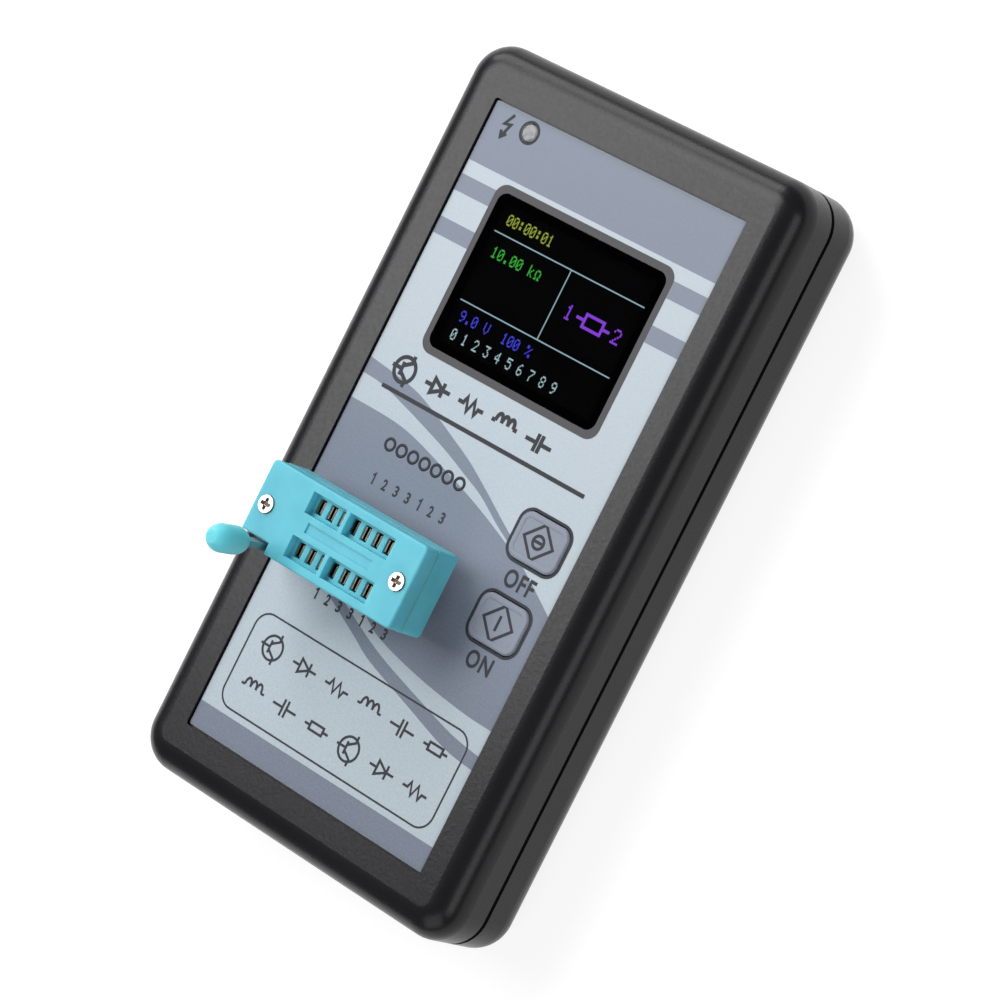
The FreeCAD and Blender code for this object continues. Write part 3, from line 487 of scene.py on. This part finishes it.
def circuit_board():
    """Green solder mask over a faint weave of glass cloth and lighter copper runs."""
    made = Finish("circuit_board")
    weave = made.bricks(1.2, 0.5, 0.03, linear(14, 84, 50), linear(16, 90, 54), linear(11, 72, 42))
    runs = made.noise(2.4, detail=0.0, vector=made.stretched(1.0, 0.12, 1.0))
    over_copper = made.ranged(runs, 0.55, 0.58, 0, 0.6)
    made.colour(made.blended(over_copper, weave.outputs["Color"], linear(28, 112, 66)))
    made.rough(made.ranged(runs, 0.3, 0.7, 0.3, 0.42))
    return made.material


def battery_jacket():
    """Plain dark jacket of a block cell with a paler wrap around one end."""
    made = Finish("battery_jacket")
    end = made.ranged(made.along("X"), WRAP_X * MM, (WRAP_X + WRAP_FADE) * MM, 0, 1)
    made.colour(made.blended(end, linear(40, 42, 48), linear(150, 140, 118)))
    made.rough(made.ranged(made.noise(1.4), 0.3, 0.7, 0.26, 0.38))
    made.set(Metallic=0.5)
    return made.material


INK_GREY = ink("printed_grey", linear(60, 61, 66))
BORDER_GREY = ink("printed_frame", linear(85, 84, 87))
MASK_BLACK = ink("printed_mask", linear(2, 2, 3), 0.0)
# Brown painted shade for the floors of the screws' cross recesses
RECESS_PAINTED_SHADE = ink("painted_recess_shade", linear(128, 106, 90), 0.3)
# Each film's second colour is its painted shade at the panel's low end
PALE_FILM = film("pale_film", linear(194, 204, 213), linear(175, 187, 195))
SLATE_FILM = film("slate_print", linear(139, 147, 162), linear(117, 125, 140))
KEY_FILM = film("key_film", linear(146, 151, 164), linear(136, 143, 157))
CASE = case_plastic()
SOCKET = turquoise("turquoise_socket", linear(97, 190, 208), linear(107, 200, 218), 0.5, 3.0)
# The knob's turquoise is painted lighter than the socket's, as painted light for the light the knob lacks
KNOB_PAINTED_LIGHTER = turquoise("turquoise_knob_painted_lighter", linear(118, 212, 230), linear(124, 218, 235), 1.0, 7.0)
BLACK = moulded_plastic("black_plastic", linear(30, 30, 31), 0.5, 0.25, 0.012)
NICKEL = metal("nickel_screws", linear(214, 209, 202), 0.3, (1.0, 1.0, 1.0), 0.0006)
STEEL = metal("lever_steel", linear(168, 168, 166), 0.34, (1.0, 1.0, 0.08))
# The tinned metal's colour is painted dark, as painted shade of the contacts lying down in the socket's
# wells
TIN_PAINTED_DARK = metal("tin_painted_dark", linear(92, 85, 74), 0.34, (1.0, 1.0, 0.1), 0.002)
CAN = metal("metal_can", linear(200, 200, 200), 0.3, (0.1, 1.0, 1.0))
BOARD = circuit_board()
LIT = {
    "line": lit_pixels("lit_line", linear(160, 196, 208)),
    "green": lit_pixels("lit_green", linear(58, 196, 58)),
    "olive": lit_pixels("lit_olive", linear(168, 184, 66)),
    "blue": lit_pixels("lit_blue", linear(66, 70, 232)),
    "violet": lit_pixels("lit_violet", linear(146, 62, 236)),
    "pale": lit_pixels("lit_pale", linear(176, 210, 218)),
}

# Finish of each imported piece: those not named here are black plastic
NODE_FINISH = {
    "front_shell": CASE,
    "rear_shell": CASE,
    "battery_door": CASE,
    "front_overlay": PALE_FILM,
    "off_key": KEY_FILM,
    "test_key": KEY_FILM,
    "display_window": clear_window(),
    "display_panel": screen_black(),
    "indicator_led": lamp_plastic(),
    "led_legs": TIN_PAINTED_DARK,
    "socket_contacts": TIN_PAINTED_DARK,
    "main_board": BOARD,
    "display_board": BOARD,
    "socket_base": SOCKET,
    "socket_cover": SOCKET,
    "lever_knob": KNOB_PAINTED_LIGHTER,
    "lever_arm": STEEL,
    "socket_slider": moulded_plastic("pale_comb", linear(216, 214, 206), 0.5, 0.3, 0.01),
    "case_screws": NICKEL,
    "board_screws": NICKEL,
    "socket_screws": NICKEL,
    "crystal": CAN,
    "capacitors": CAN,
    "measuring_resistors": moulded_plastic("chip_ceramic", linear(40, 40, 44), 0.35, 0.2, 0.004),
    "power_connector": moulded_plastic("cream_plug", linear(222, 216, 198), 0.45, 0.3, 0.01),
    "battery": battery_jacket(),
    "battery_lead_red": moulded_plastic("red_lead", linear(176, 34, 30), 0.42, 0.4, 0.01),
    "battery_lead_black": moulded_plastic("black_lead", linear(28, 28, 28), 0.42, 0.4, 0.01),
}


def dress(piece, material):
    piece.data.materials.clear()
    piece.data.materials.append(material)


def dress_packed_pieces():
    for node_name, node_object in nodes.items():
        dress(node_object, NODE_FINISH.get(node_name, BLACK))


# Outlines

def curve_point(p0, p1, p2, p3, t):
    """A point at share t of the way from p1 to p2, on a smooth curve through all four."""
    made = []
    for a, b, c, d in zip(p0, p1, p2, p3):
        slope = (c - a) * t
        square = (2 * a - 5 * b + 4 * c - d) * t ** 2
        cube = (3 * b - a - 3 * c + d) * t ** 3
        made.append((2 * b + slope + square + cube) / 2)
    return tuple(made)


def smooth_through(points):
    """Points along a smooth curve through the given ones."""
    ends = [points[0], *points, points[-1]]
    made = []
    for four in zip(ends, ends[1:], ends[2:], ends[3:]):
        for i in range(CURVE_STEPS):
            made.append(curve_point(*four, i / CURVE_STEPS))
    return made + [points[-1]]


def between(upper, lower):
    """The area between two edge curves that both run from left to right."""
    return smooth_through(lower) + smooth_through(upper)[::-1]


def rectangle(x0, x1, y0, y1):
    return [(x0, y0), (x1, y0), (x1, y1), (x0, y1)]


def rounded(x0, x1, y0, y1, r):
    """A rectangle with round corners, anticlockwise from its right side."""
    centres = ((x1 - r, y1 - r), (x0 + r, y1 - r), (x0 + r, y0 + r), (x1 - r, y0 + r))
    made = []
    for quarter, (cx, cy) in enumerate(centres):
        for i in range(CORNER_STEPS + 1):
            a = math.radians(90 * (quarter + i / CORNER_STEPS))
            made.append((cx + r * math.cos(a), cy + r * math.sin(a)))
    return made


def circle(x, y, r):
    made = []
    for i in range(CIRCLE_STEPS):
        a = 2 * math.pi * i / CIRCLE_STEPS
        made.append((x + r * math.cos(a), y + r * math.sin(a)))
    return made


def key_outline(node, grow):
    """A key's outline, moved outwards by grow."""
    low, high = box_mm(node)
    return rounded(low.x - grow, high.x + grow, low.y - grow, high.y + grow, KEY_CORNER_R + grow)


def stroke(*points):
    """An open line to print."""
    return list(points), False


def loop(points):
    """A closed line to print."""
    return points, True


# Meshes

def prism(mesh, outline, z0, z1):
    """Add an upright block over an outline that runs either way round."""
    area = sum(a[0] * b[1] - b[0] * a[1] for a, b in zip(outline, outline[1:] + outline[:1]))
    points = outline if area > 0 else outline[::-1]
    low = [mesh.verts.new((x, y, z0)) for x, y in points]
    high = [mesh.verts.new((x, y, z1)) for x, y in points]
    mesh.faces.new(low[::-1])
    mesh.faces.new(high)
    for i in range(len(points)):
        j = (i + 1) % len(points)
        mesh.faces.new((low[i], low[j], high[j], high[i]))


def ribbon(mesh, points, width, z0, z1, closed):
    """Add a line of even width along points, with mitred corners, as a thin solid."""
    count = len(points)
    left, right = [], []
    for i, (x, y) in enumerate(points):
        here = Vector((x, y))
        ways = []
        if i or closed:
            ways.append((here - Vector(points[i - 1])).normalized())
        if i < count - 1 or closed:
            ways.append((Vector(points[(i + 1) % count]) - here).normalized())
        way = sum(ways, Vector((0, 0))).normalized()
        side = Vector((-way.y, way.x))
        mitre = abs(side.dot(Vector((-ways[0].y, ways[0].x))))
        reach = width / 2 / max(MITRE_LEAST, mitre)
        left.append((x + side.x * reach, y + side.y * reach))
        right.append((x - side.x * reach, y - side.y * reach))
    rows = []
    for line, z in ((left, z1), (right, z1), (right, z0), (left, z0)):
        rows.append([mesh.verts.new((x, y, z)) for x, y in line])
    spans = count if closed else count - 1
    for i in range(spans):
        j = (i + 1) % count
        for a, b in zip(rows, rows[1:] + rows[:1]):
            mesh.faces.new((a[i], b[i], b[j], a[j]))
    if not closed:
        mesh.faces.new([row[0] for row in rows][::-1])
        mesh.faces.new([row[-1] for row in rows])


def object_from(mesh, name):
    data = bpy.data.meshes.new(name)
    mesh.to_mesh(data)
    mesh.free()
    made = bpy.data.objects.new(name, data)
    bpy.context.collection.objects.link(made)
    return made


def evaluated_mesh(piece):
    """A plain mesh of the piece as its modifiers or its curve make it."""
    graph = bpy.context.evaluated_depsgraph_get()
    return bpy.data.meshes.new_from_object(piece.evaluated_get(graph))


def baked(piece):
    """The piece with its modifiers as a plain mesh."""
    data = evaluated_mesh(piece)
    piece.modifiers.clear()
    old = piece.data
    piece.data = data
    bpy.data.meshes.remove(old)
    return piece


def drawn_mesh(curve):
    """The mesh of a curve or a text, which is then thrown away."""
    drawer = bpy.data.objects.new(curve.name, curve)
    bpy.context.collection.objects.link(drawer)
    data = evaluated_mesh(drawer)
    bpy.data.objects.remove(drawer)
    bpy.data.curves.remove(curve)
    return data


def settle(piece, material, body):
    """Turn millimetres to metres, dress the piece and let it ride on its body."""
    piece.data.transform(Matrix.Scale(MM, 4))
    dress(piece, material)
    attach(piece, body)
    return piece


# Ways to print

def opening_cutter():
    """Upright blocks over every opening of the film, to cut the print with."""
    openings = [key_outline(node, KEY_GAP) for node in KEYS]
    openings.append(rounded(WINDOW_LOW.x, WINDOW_HIGH.x, WINDOW_LOW.y, WINDOW_HIGH.y, WINDOW_R))
    openings.append(rectangle(RISER_LOW.x - RISER_GAP, RISER_HIGH.x + RISER_GAP,
                              RISER_LOW.y - RISER_GAP, RISER_HIGH.y + RISER_GAP))
    openings.append(circle(LAMP_MIDDLE.x, LAMP_MIDDLE.y, LAMP_HOLE_R))
    mesh = bmesh.new()
    for outline in openings:
        prism(mesh, outline, PANEL_TOP - CUT_REACH, PANEL_TOP + CUT_REACH)
    return object_from(mesh, "opening_cutter")


def print_areas(name, outlines, material, cutter, lift=0.0):
    """Thin solid ink areas on the film, cut clear of its openings."""
    mesh = bmesh.new()
    z = PANEL_TOP + lift
    for outline in outlines:
        prism(mesh, outline, z - INK_SINK, z + INK_T)
    bmesh.ops.triangulate(mesh, faces=mesh.faces[:])
    piece = object_from(mesh, name)
    cut = piece.modifiers.new("openings", "BOOLEAN")
    cut.object = cutter
    cut.solver = "EXACT"
    return settle(baked(piece), material, "case")


def print_lines(name, lines, width, z, material, body):
    """Printed lines: each is (points, closed), laid a hair above the one before."""
    mesh = bmesh.new()
    for i, (points, closed) in enumerate(lines):
        top = z + INK_T + i * PRINT_STEP
        ribbon(mesh, points, width, z - INK_SINK, top, closed)
    bmesh.ops.recalc_face_normals(mesh, faces=mesh.faces[:])
    return settle(object_from(mesh, name), material, body)


def panel_lines(name, lines, width):
    """Grey lines on the film."""
    return print_lines(name, lines, width, INK_Z, INK_GREY, "case")


def panel_words(name, words, weight):
    """Grey figures on the film: each is (text, x0, x1, y0, y1), drawn to fill that box."""
    mesh = bmesh.new()
    for text, x0, x1, y0, y1 in words:
        curve = bpy.data.curves.new(name, "FONT")
        curve.body = text
        curve.extrude = LETTER_DEPTH
        curve.offset = weight
        curve.space_character = LETTER_SPACING
        curve.resolution_u = LETTER_STEPS
        drawn = drawn_mesh(curve)
        xs = [vert.co.x for vert in drawn.vertices]
        ys = [vert.co.y for vert in drawn.vertices]
        left, right, foot, top = min(xs), max(xs), min(ys), max(ys)
        for vert in drawn.vertices:
            vert.co.x = x0 + (vert.co.x - left) / (right - left) * (x1 - x0)
            vert.co.y = y0 + (vert.co.y - foot) / (top - foot) * (y1 - y0)
            vert.co.z = INK_Z + INK_T if vert.co.z > 0 else INK_Z - INK_SINK
        mesh.from_mesh(drawn)
        bpy.data.meshes.remove(drawn)
    bmesh.ops.remove_doubles(mesh, verts=mesh.verts[:], dist=WELD)
    return settle(object_from(mesh, name), INK_GREY, "case")


# Panel print

def panel_areas():
    """Slate bands and sweeps, the display's border and the underline."""
    cutter = opening_cutter()
    bands = [rectangle(PRINT_LEFT, PRINT_RIGHT, TOP_BAND_Y, PRINT_TOP)]
    bands.append(rectangle(PRINT_LEFT, PRINT_RIGHT, PRINT_LOW, LOW_BAND_Y))
    for low, high in SIDE_BANDS:
        bands.append(rectangle(PRINT_LEFT, BORDER[0] + BAND_TUCK, low, high))
        bands.append(rectangle(BORDER[1] - BAND_TUCK, PRINT_RIGHT, low, high))
    print_areas("slate_bands", bands, SLATE_FILM, cutter)
    print_areas("upper_sweep", [between(UPPER_SWEEP_TOP, UPPER_SWEEP_LOW)], SLATE_FILM, cutter)
    print_areas("wide_sweep", [between(WIDE_SWEEP_TOP, WIDE_SWEEP_LOW)], SLATE_FILM, cutter)
    print_areas("lower_sweep", [between(LOWER_SWEEP_TOP, LOWER_SWEEP_LOW)], SLATE_FILM, cutter)
    print_areas("display_border", [rounded(*BORDER, BORDER_R)], BORDER_GREY, cutter, SECOND_INK)
    print_areas("underline", [rectangle(*UNDERLINE)], INK_GREY, cutter, SECOND_INK)
    bpy.data.objects.remove(cutter)


def pin_figures():
    """The two rows of figures: the ones are plain strokes, the others letters."""
    figures = []
    ones = []
    for row_y in DIGIT_ROWS:
        top, foot = row_y + DIGIT_H / 2, row_y - DIGIT_H / 2
        for i, digit in enumerate(DIGITS):
            x = DIGIT_X0 + i * DIGIT_STEP
            stem = x + ONE_STEM_X
            if digit == "1":
                ones.append(stroke((x + ONE_FLAG_X, top - ONE_FLAG_DROP), (stem, top), (stem, foot)))
            else:
                figures.append((digit, x - DIGIT_W / 2, x + DIGIT_W / 2, foot, top))
    panel_words("pin_figures", figures, DIGIT_WEIGHT)
    panel_lines("pin_ones", ones, ONE_LINE_W)


def window_mask():
    """Black border on the clear window."""
    inset = MASK_W / 2 + EDGE
    outline = rounded(WINDOW_LOW.x + inset, WINDOW_HIGH.x - inset,
                      WINDOW_LOW.y + inset, WINDOW_HIGH.y - inset, WINDOW_R - inset)
    print_lines("window_mask", [loop(outline)], MASK_W, WINDOW_HIGH.z, MASK_BLACK, "case")


def lamp_ring():
    outline = circle(LAMP_MIDDLE.x, LAMP_MIDDLE.y, LAMP_HOLE_R + LAMP_RING_W / 2)
    panel_lines("lamp_ring", [loop(outline)], LAMP_RING_W)


def lamp_mark():
    """Jagged arrow beside the lamp."""
    middle_x, middle_y = LAMP_MARK
    lines = []
    for points in (BOLT, BARB):
        lines.append(stroke(*((middle_x + x, middle_y + y) for x, y in points)))
    panel_lines("lamp_mark", lines, LAMP_MARK_W)


# Keys

def pillow_edge(node):
    """The soft raised border that is pressed into a key's film."""
    outline = key_outline(node, -PILLOW_INSET)
    curve = bpy.data.curves.new(node + "_pillow", "CURVE")
    curve.dimensions = "3D"
    curve.bevel_depth = PILLOW_W / 2
    line = curve.splines.new("POLY")
    line.points.add(len(outline) - 1)
    for point, (x, y) in zip(line.points, outline):
        point.co = (x, y, 0, 1)
    line.use_cyclic_u = True
    data = drawn_mesh(curve)
    mesh = bmesh.new()
    mesh.from_mesh(data)
    bpy.data.meshes.remove(data)
    top = box_mm(node)[1].z
    for vert in mesh.verts:
        vert.co.z = top + vert.co.z * PILLOW_RISE / (PILLOW_W / 2)
    for face in mesh.faces:
        face.smooth = True
    bmesh.ops.recalc_face_normals(mesh, faces=mesh.faces[:])
    settle(object_from(mesh, node + "_pillow"), KEY_FILM, node)


def off_sign(x, y):
    """A ring with a dash in it."""
    return [loop(circle(x, y, OFF_RING_R)), stroke((x - OFF_DASH_HALF, y), (x + OFF_DASH_HALF, y))]


def on_sign(x, y):
    """An upright bar."""
    return [stroke((x, y - ON_BAR_HALF), (x, y + ON_BAR_HALF))]


def key_face(node, sign):
    """A key's sign in its diamond, and its pressed border."""
    low, high = box_mm(node)
    x, y = (low.x + high.x) / 2, (low.y + high.y) / 2
    half = DIAMOND_HALF
    diamond = loop([(x - half, y), (x, y - half), (x + half, y), (x, y + half)])
    print_lines(node + "_sign", [diamond, *sign(x, y)], KEY_SIGN_W, high.z, INK_GREY, node)
    pillow_edge(node)


def key_outlines():
    rings = [loop(key_outline(node, KEY_LINE_W / 2 + KEY_GAP)) for node in KEYS]
    panel_lines("key_outlines", rings, KEY_LINE_W)


# Circuit signs: each is drawn about (x, y) and reaches s to either side

def leads(x, y, s, inner):
    """Level wires from both ends of a sign to its body, which reaches inner to either side."""
    return [stroke((x - s, y), (x - inner, y)), stroke((x + inner, y), (x + s, y))]


def zigzag(x, y, s):
    """Resistor: four peaks, up and down in turn."""
    points = [(x - s, y), (x - 0.6 * s, y)]
    for i in range(4):
        rise = 0.4 if i % 2 == 0 else -0.4
        points.append((x + (-0.45 + 0.3 * i) * s, y + rise * s))
    return [stroke(*points, (x + 0.6 * s, y), (x + s, y))]


def plates(x, y, s):
    """Capacitor: two facing plates."""
    gap = 0.16 * s
    half = 0.55 * s
    lines = leads(x, y, s, gap)
    for plate_x in (x - gap, x + gap):
        lines.append(stroke((plate_x, y - half), (plate_x, y + half)))
    return lines


def arrow_diode(x, y, s):
    """Diode: an arrowhead against a bar."""
    reach = 0.4 * s
    half = 0.45 * s
    lines = leads(x, y, s, reach)
    lines.append(loop([(x - reach, y + half), (x + reach, y), (x - reach, y - half)]))
    lines.append(stroke((x + reach, y - half), (x + reach, y + half)))
    return lines


def coil(x, y, s):
    """Inductor: three half turns in a row."""
    half = 0.24 * s
    rise = 0.5 * s
    lines = leads(x, y, s, 3 * half)
    for turn in (-1, 0, 1):
        arc = []
        for i in range(HALF_TURN_STEPS + 1):
            a = math.pi * (1 - i / HALF_TURN_STEPS)
            arc.append((x + half * (2 * turn + math.cos(a)), y + rise * math.sin(a)))
        lines.append(stroke(*arc))
    return lines


def three_leg(x, y, s):
    """Transistor: a ring, a bar with its wire, and two slanted legs."""
    bar_x = x - 0.25 * s
    leg_x = x + 0.32 * s
    lines = [loop(circle(x, y, 0.78 * s)), stroke((x - s, y), (bar_x, y))]
    lines.append(stroke((bar_x, y - 0.42 * s), (bar_x, y + 0.42 * s)))
    for way in (-s, s):
        lines.append(stroke((bar_x, y + 0.18 * way), (leg_x, y + 0.55 * way), (leg_x, y + way)))
    return lines


def boxed(x, y, s):
    """Resistor in its other form: a plain box."""
    reach = 0.55 * s
    half = 0.25 * s
    return [loop(rectangle(x - reach, x + reach, y - half, y + half)), *leads(x, y, s, reach)]


SIGNS = (three_leg, arrow_diode, zigzag, coil, plates, boxed)


def sign_row(signs, x0, y, size):
    lines = []
    for i, sign in enumerate(signs):
        lines += sign(x0 + i * SIGN_STEP, y, size)
    return lines


def chart():
    """A round-cornered box with two rows of signs, the second starting half way through the set."""
    panel_lines("chart_border", [loop(rounded(*CHART_BOX, CHART_R))], CHART_LINE_W)
    x0 = (CHART_BOX[0] + CHART_BOX[1]) / 2 - SIGN_STEP * (len(SIGNS) - 1) / 2
    for row, y in enumerate(CHART_ROWS):
        start = row * len(SIGNS) // 2
        lines = sign_row(SIGNS[start:] + SIGNS[:start], x0, y, CHART_SIGN)
        panel_lines("chart_signs_%d" % (row + 1), lines, CHART_SIGN_W)


def head_signs():
    panel_lines("head_signs", sign_row(SIGNS[:HEAD_COUNT], HEAD_X0, HEAD_Y, HEAD_SIGN), HEAD_SIGN_W)


# Row of pin marks over the socket, made by instancing one ring along a line

def pin_mark_tree():
    tree = bpy.data.node_groups.new("pin_marks", "GeometryNodeTree")
    face = tree.interface
    face.new_socket("Geometry", in_out="OUTPUT", socket_type="NodeSocketGeometry")
    face.new_socket("Count", in_out="INPUT", socket_type="NodeSocketInt")
    for label in ("Spacing", "Ring radius", "Line width"):
        face.new_socket(label, in_out="INPUT", socket_type="NodeSocketFloat")
    face.new_socket("Ink", in_out="INPUT", socket_type="NodeSocketMaterial")
    add = tree.nodes.new
    given = add("NodeGroupInput")
    offset = add("ShaderNodeCombineXYZ")
    line = add("GeometryNodeMeshLine")
    ring = add("GeometryNodeCurvePrimitiveCircle")
    profile = add("GeometryNodeCurvePrimitiveQuadrilateral")
    sweep = add("GeometryNodeCurveToMesh")
    copies = add("GeometryNodeInstanceOnPoints")
    real = add("GeometryNodeRealizeInstances")
    paint = add("GeometryNodeSetMaterial")
    end = add("NodeGroupOutput")
    ring.inputs["Resolution"].default_value = PIN_MARK_STEPS
    profile.inputs["Height"].default_value = INK_T
    join = tree.links.new
    join(given.outputs["Spacing"], offset.inputs["X"])
    join(given.outputs["Count"], line.inputs["Count"])
    join(offset.outputs[0], line.inputs["Offset"])
    join(given.outputs["Ring radius"], ring.inputs["Radius"])
    join(given.outputs["Line width"], profile.inputs["Width"])
    join(ring.outputs["Curve"], sweep.inputs["Curve"])
    join(profile.outputs["Curve"], sweep.inputs["Profile Curve"])
    join(line.outputs["Mesh"], copies.inputs["Points"])
    join(sweep.outputs["Mesh"], copies.inputs["Instance"])
    join(copies.outputs["Instances"], real.inputs["Geometry"])
    join(real.outputs["Geometry"], paint.inputs["Geometry"])
    join(given.outputs["Ink"], paint.inputs["Material"])
    join(paint.outputs["Geometry"], end.inputs["Geometry"])
    return tree


def pin_marks():
    piece = object_from(bmesh.new(), "pin_marks")
    maker = piece.modifiers.new("marks", "NODES")
    maker.node_group = pin_mark_tree()
    values = {
        "Count": len(DIGITS),
        "Spacing": DIGIT_STEP,
        "Ring radius": PIN_MARK_R,
        "Line width": PIN_MARK_LINE_W,
        "Ink": INK_GREY,
    }
    for item in maker.node_group.interface.items_tree:
        if item.in_out == "INPUT":
            maker[item.identifier] = values[item.name]
    baked(piece)
    piece.data.transform(Matrix.Translation((DIGIT_X0, PIN_MARK_Y, INK_Z)))
    mesh = bmesh.new()
    mesh.from_mesh(piece.data)
    bmesh.ops.recalc_face_normals(mesh, faces=mesh.faces[:])
    mesh.to_mesh(piece.data)
    mesh.free()
    settle(piece, INK_GREY, "case")


# Lit picture on the display

def screen_lines(name, lines, width, tint):
    print_lines(name, lines, width, SCREEN_TOP, LIT[tint], "case")


def screen_text(name, text, x0, y, step, height, tint):
    """Characters made of lit cells, one step apart, centred on y."""
    mesh = bmesh.new()
    cell_w, cell_h = step / CELLS_PER_STEP, height / CELL_ROWS
    for place, letter in enumerate(text):
        for row, cells in enumerate(GLYPHS[letter].split()):
            top = y + height / 2 - row * cell_h
            for column, cell in enumerate(cells):
                if cell == "1":
                    left = x0 + place * step + column * cell_w
                    square = rectangle(left, left + cell_w - CELL_GAP, top - cell_h + CELL_GAP, top)
                    prism(mesh, square, SCREEN_TOP - INK_SINK, SCREEN_TOP + INK_T)
    settle(object_from(mesh, name), LIT[tint], "case")


def lit_picture():
    """Two level rules with a divider between them, four readings and a part between two pin numbers."""
    rules = [stroke((RULE_LEFT, y), (RULE_RIGHT, y)) for y in (RULE_TOP, RULE_LOW)]
    rules.append(stroke((DIVIDER_X, RULE_LOW), (DIVIDER_X, RULE_TOP)))
    screen_lines("screen_lines", rules, RULE_W, "line")
    for name, text, y, step, tint in READINGS:
        screen_text(name, text, READING_X, y, step, READING_H, tint)
    x0, x1, y0, y1 = SYMBOL
    middle = (y0 + y1) / 2
    symbol = [loop(rectangle(*SYMBOL))]
    symbol.append(stroke((SYMBOL_ENDS[0], middle), (x0, middle)))
    symbol.append(stroke((x1, middle), (SYMBOL_ENDS[1], middle)))
    screen_lines("reading_symbol", symbol, SYMBOL_W, "violet")
    for name, text, x in PIN_NUMBERS:
        screen_text(name, text, x, middle, PIN_NUMBER_STEP, PIN_NUMBER_H, "violet")


def painted_recess_shades():
    """Brown painted shade on the floors of the cross recesses in the socket's two screws."""
    radius = (SCREW_HIGH.y - SCREW_LOW.y) / 2
    y = (SCREW_LOW.y + SCREW_HIGH.y) / 2
    crosses = []
    for x in (SCREW_LOW.x + radius, SCREW_HIGH.x - radius):
        crosses.append(stroke((x - RECESS_REACH, y), (x + RECESS_REACH, y)))
        crosses.append(stroke((x, y - RECESS_REACH), (x, y + RECESS_REACH)))
    z = SCREW_HIGH.z - RECESS_SINK
    print_lines("painted_recess_shades", crosses, RECESS_W, z, RECESS_PAINTED_SHADE, "case")


# Stage, light and camera

def stage_floor():
    """A wide pale sheet that reads as white and keeps the object's soft shadow."""
    mesh = bmesh.new()
    bmesh.ops.create_grid(mesh, x_segments=1, y_segments=1, size=FLOOR_HALF)
    floor = object_from(mesh, "floor")
    made = Finish("pale_floor")
    made.set(Base_Color=(FLOOR_SHADE, FLOOR_SHADE, FLOOR_SHADE, 1), Roughness=0.9, Specular_IOR_Level=0.1)
    path = made.add("ShaderNodeLightPath")
    seen = path.outputs["Is Camera Ray"]
    for ray in ("Is Glossy Ray", "Is Transmission Ray"):
        either = made.add("ShaderNodeMath", operation="MAXIMUM")
        made.link(seen, either.inputs[0])
        made.link(path.outputs[ray], either.inputs[1])
        seen = either.outputs[0]
    glow = made.add("ShaderNodeMath", operation="MULTIPLY")
    glow.inputs[1].default_value = FLOOR_GLOW
    made.link(seen, glow.inputs[0])
    made.link(glow.outputs[0], made.shader.inputs["Emission Strength"])
    made.set(Emission_Color=(1, 1, 1, 1))
    dress(floor, made.material)
    floor.location.z = -FLOOR_DROP


def soft_lamp(name, place, size, power):
    light = bpy.data.lights.new(name, "AREA")
    light.shape = "RECTANGLE"
    light.size, light.size_y = size
    light.energy = power
    holder = bpy.data.objects.new(name, light)
    bpy.context.collection.objects.link(holder)
    holder.location = place
    holder.rotation_mode = "QUATERNION"
    holder.rotation_quaternion = (-Vector(place)).to_track_quat("-Z", "Y")


def studio_light():
    world = bpy.data.worlds.new("studio")
    bpy.context.scene.world = world
    world.use_nodes = True
    sky = world.node_tree.nodes["Background"]
    sky.inputs["Color"].default_value = (1, 1, 1, 1)
    sky.inputs["Strength"].default_value = WORLD_LEVEL
    for lamp in LAMPS:
        soft_lamp(*lamp)


def photo_camera():
    """The photograph's view, as a place and three directions taken from the panel's centre."""
    data = bpy.data.cameras.new("photo_view")
    data.sensor_width = SENSOR
    data.lens = FOCAL_PX * SENSOR / IMAGE_SIDE
    data.clip_start, data.clip_end = CLIP
    holder = bpy.data.objects.new("photo_view", data)
    bpy.context.collection.objects.link(holder)
    axes = Matrix((Vector(CAMERA_RIGHT), -Vector(CAMERA_DOWN), -Vector(CAMERA_AHEAD)))
    place = (Vector(CAMERA_PLACE) + Vector((0, 0, PANEL_TOP))) * MM
    holder.matrix_world = Matrix.Translation(place) @ axes.transposed().to_4x4()
    bpy.context.scene.camera = holder


dress_packed_pieces()
panel_areas()
pin_figures()
panel_words("key_labels", [("OFF", *OFF_LABEL), ("ON", *ON_LABEL)], LABEL_WEIGHT)
window_mask()
lamp_ring()
key_outlines()
key_face("off_key", off_sign)
key_face("test_key", on_sign)
chart()
head_signs()
lamp_mark()
pin_marks()
lit_picture()
painted_recess_shades()
stage_floor()
studio_light()
photo_camera()
bpy.context.scene.view_settings.view_transform = "Standard"
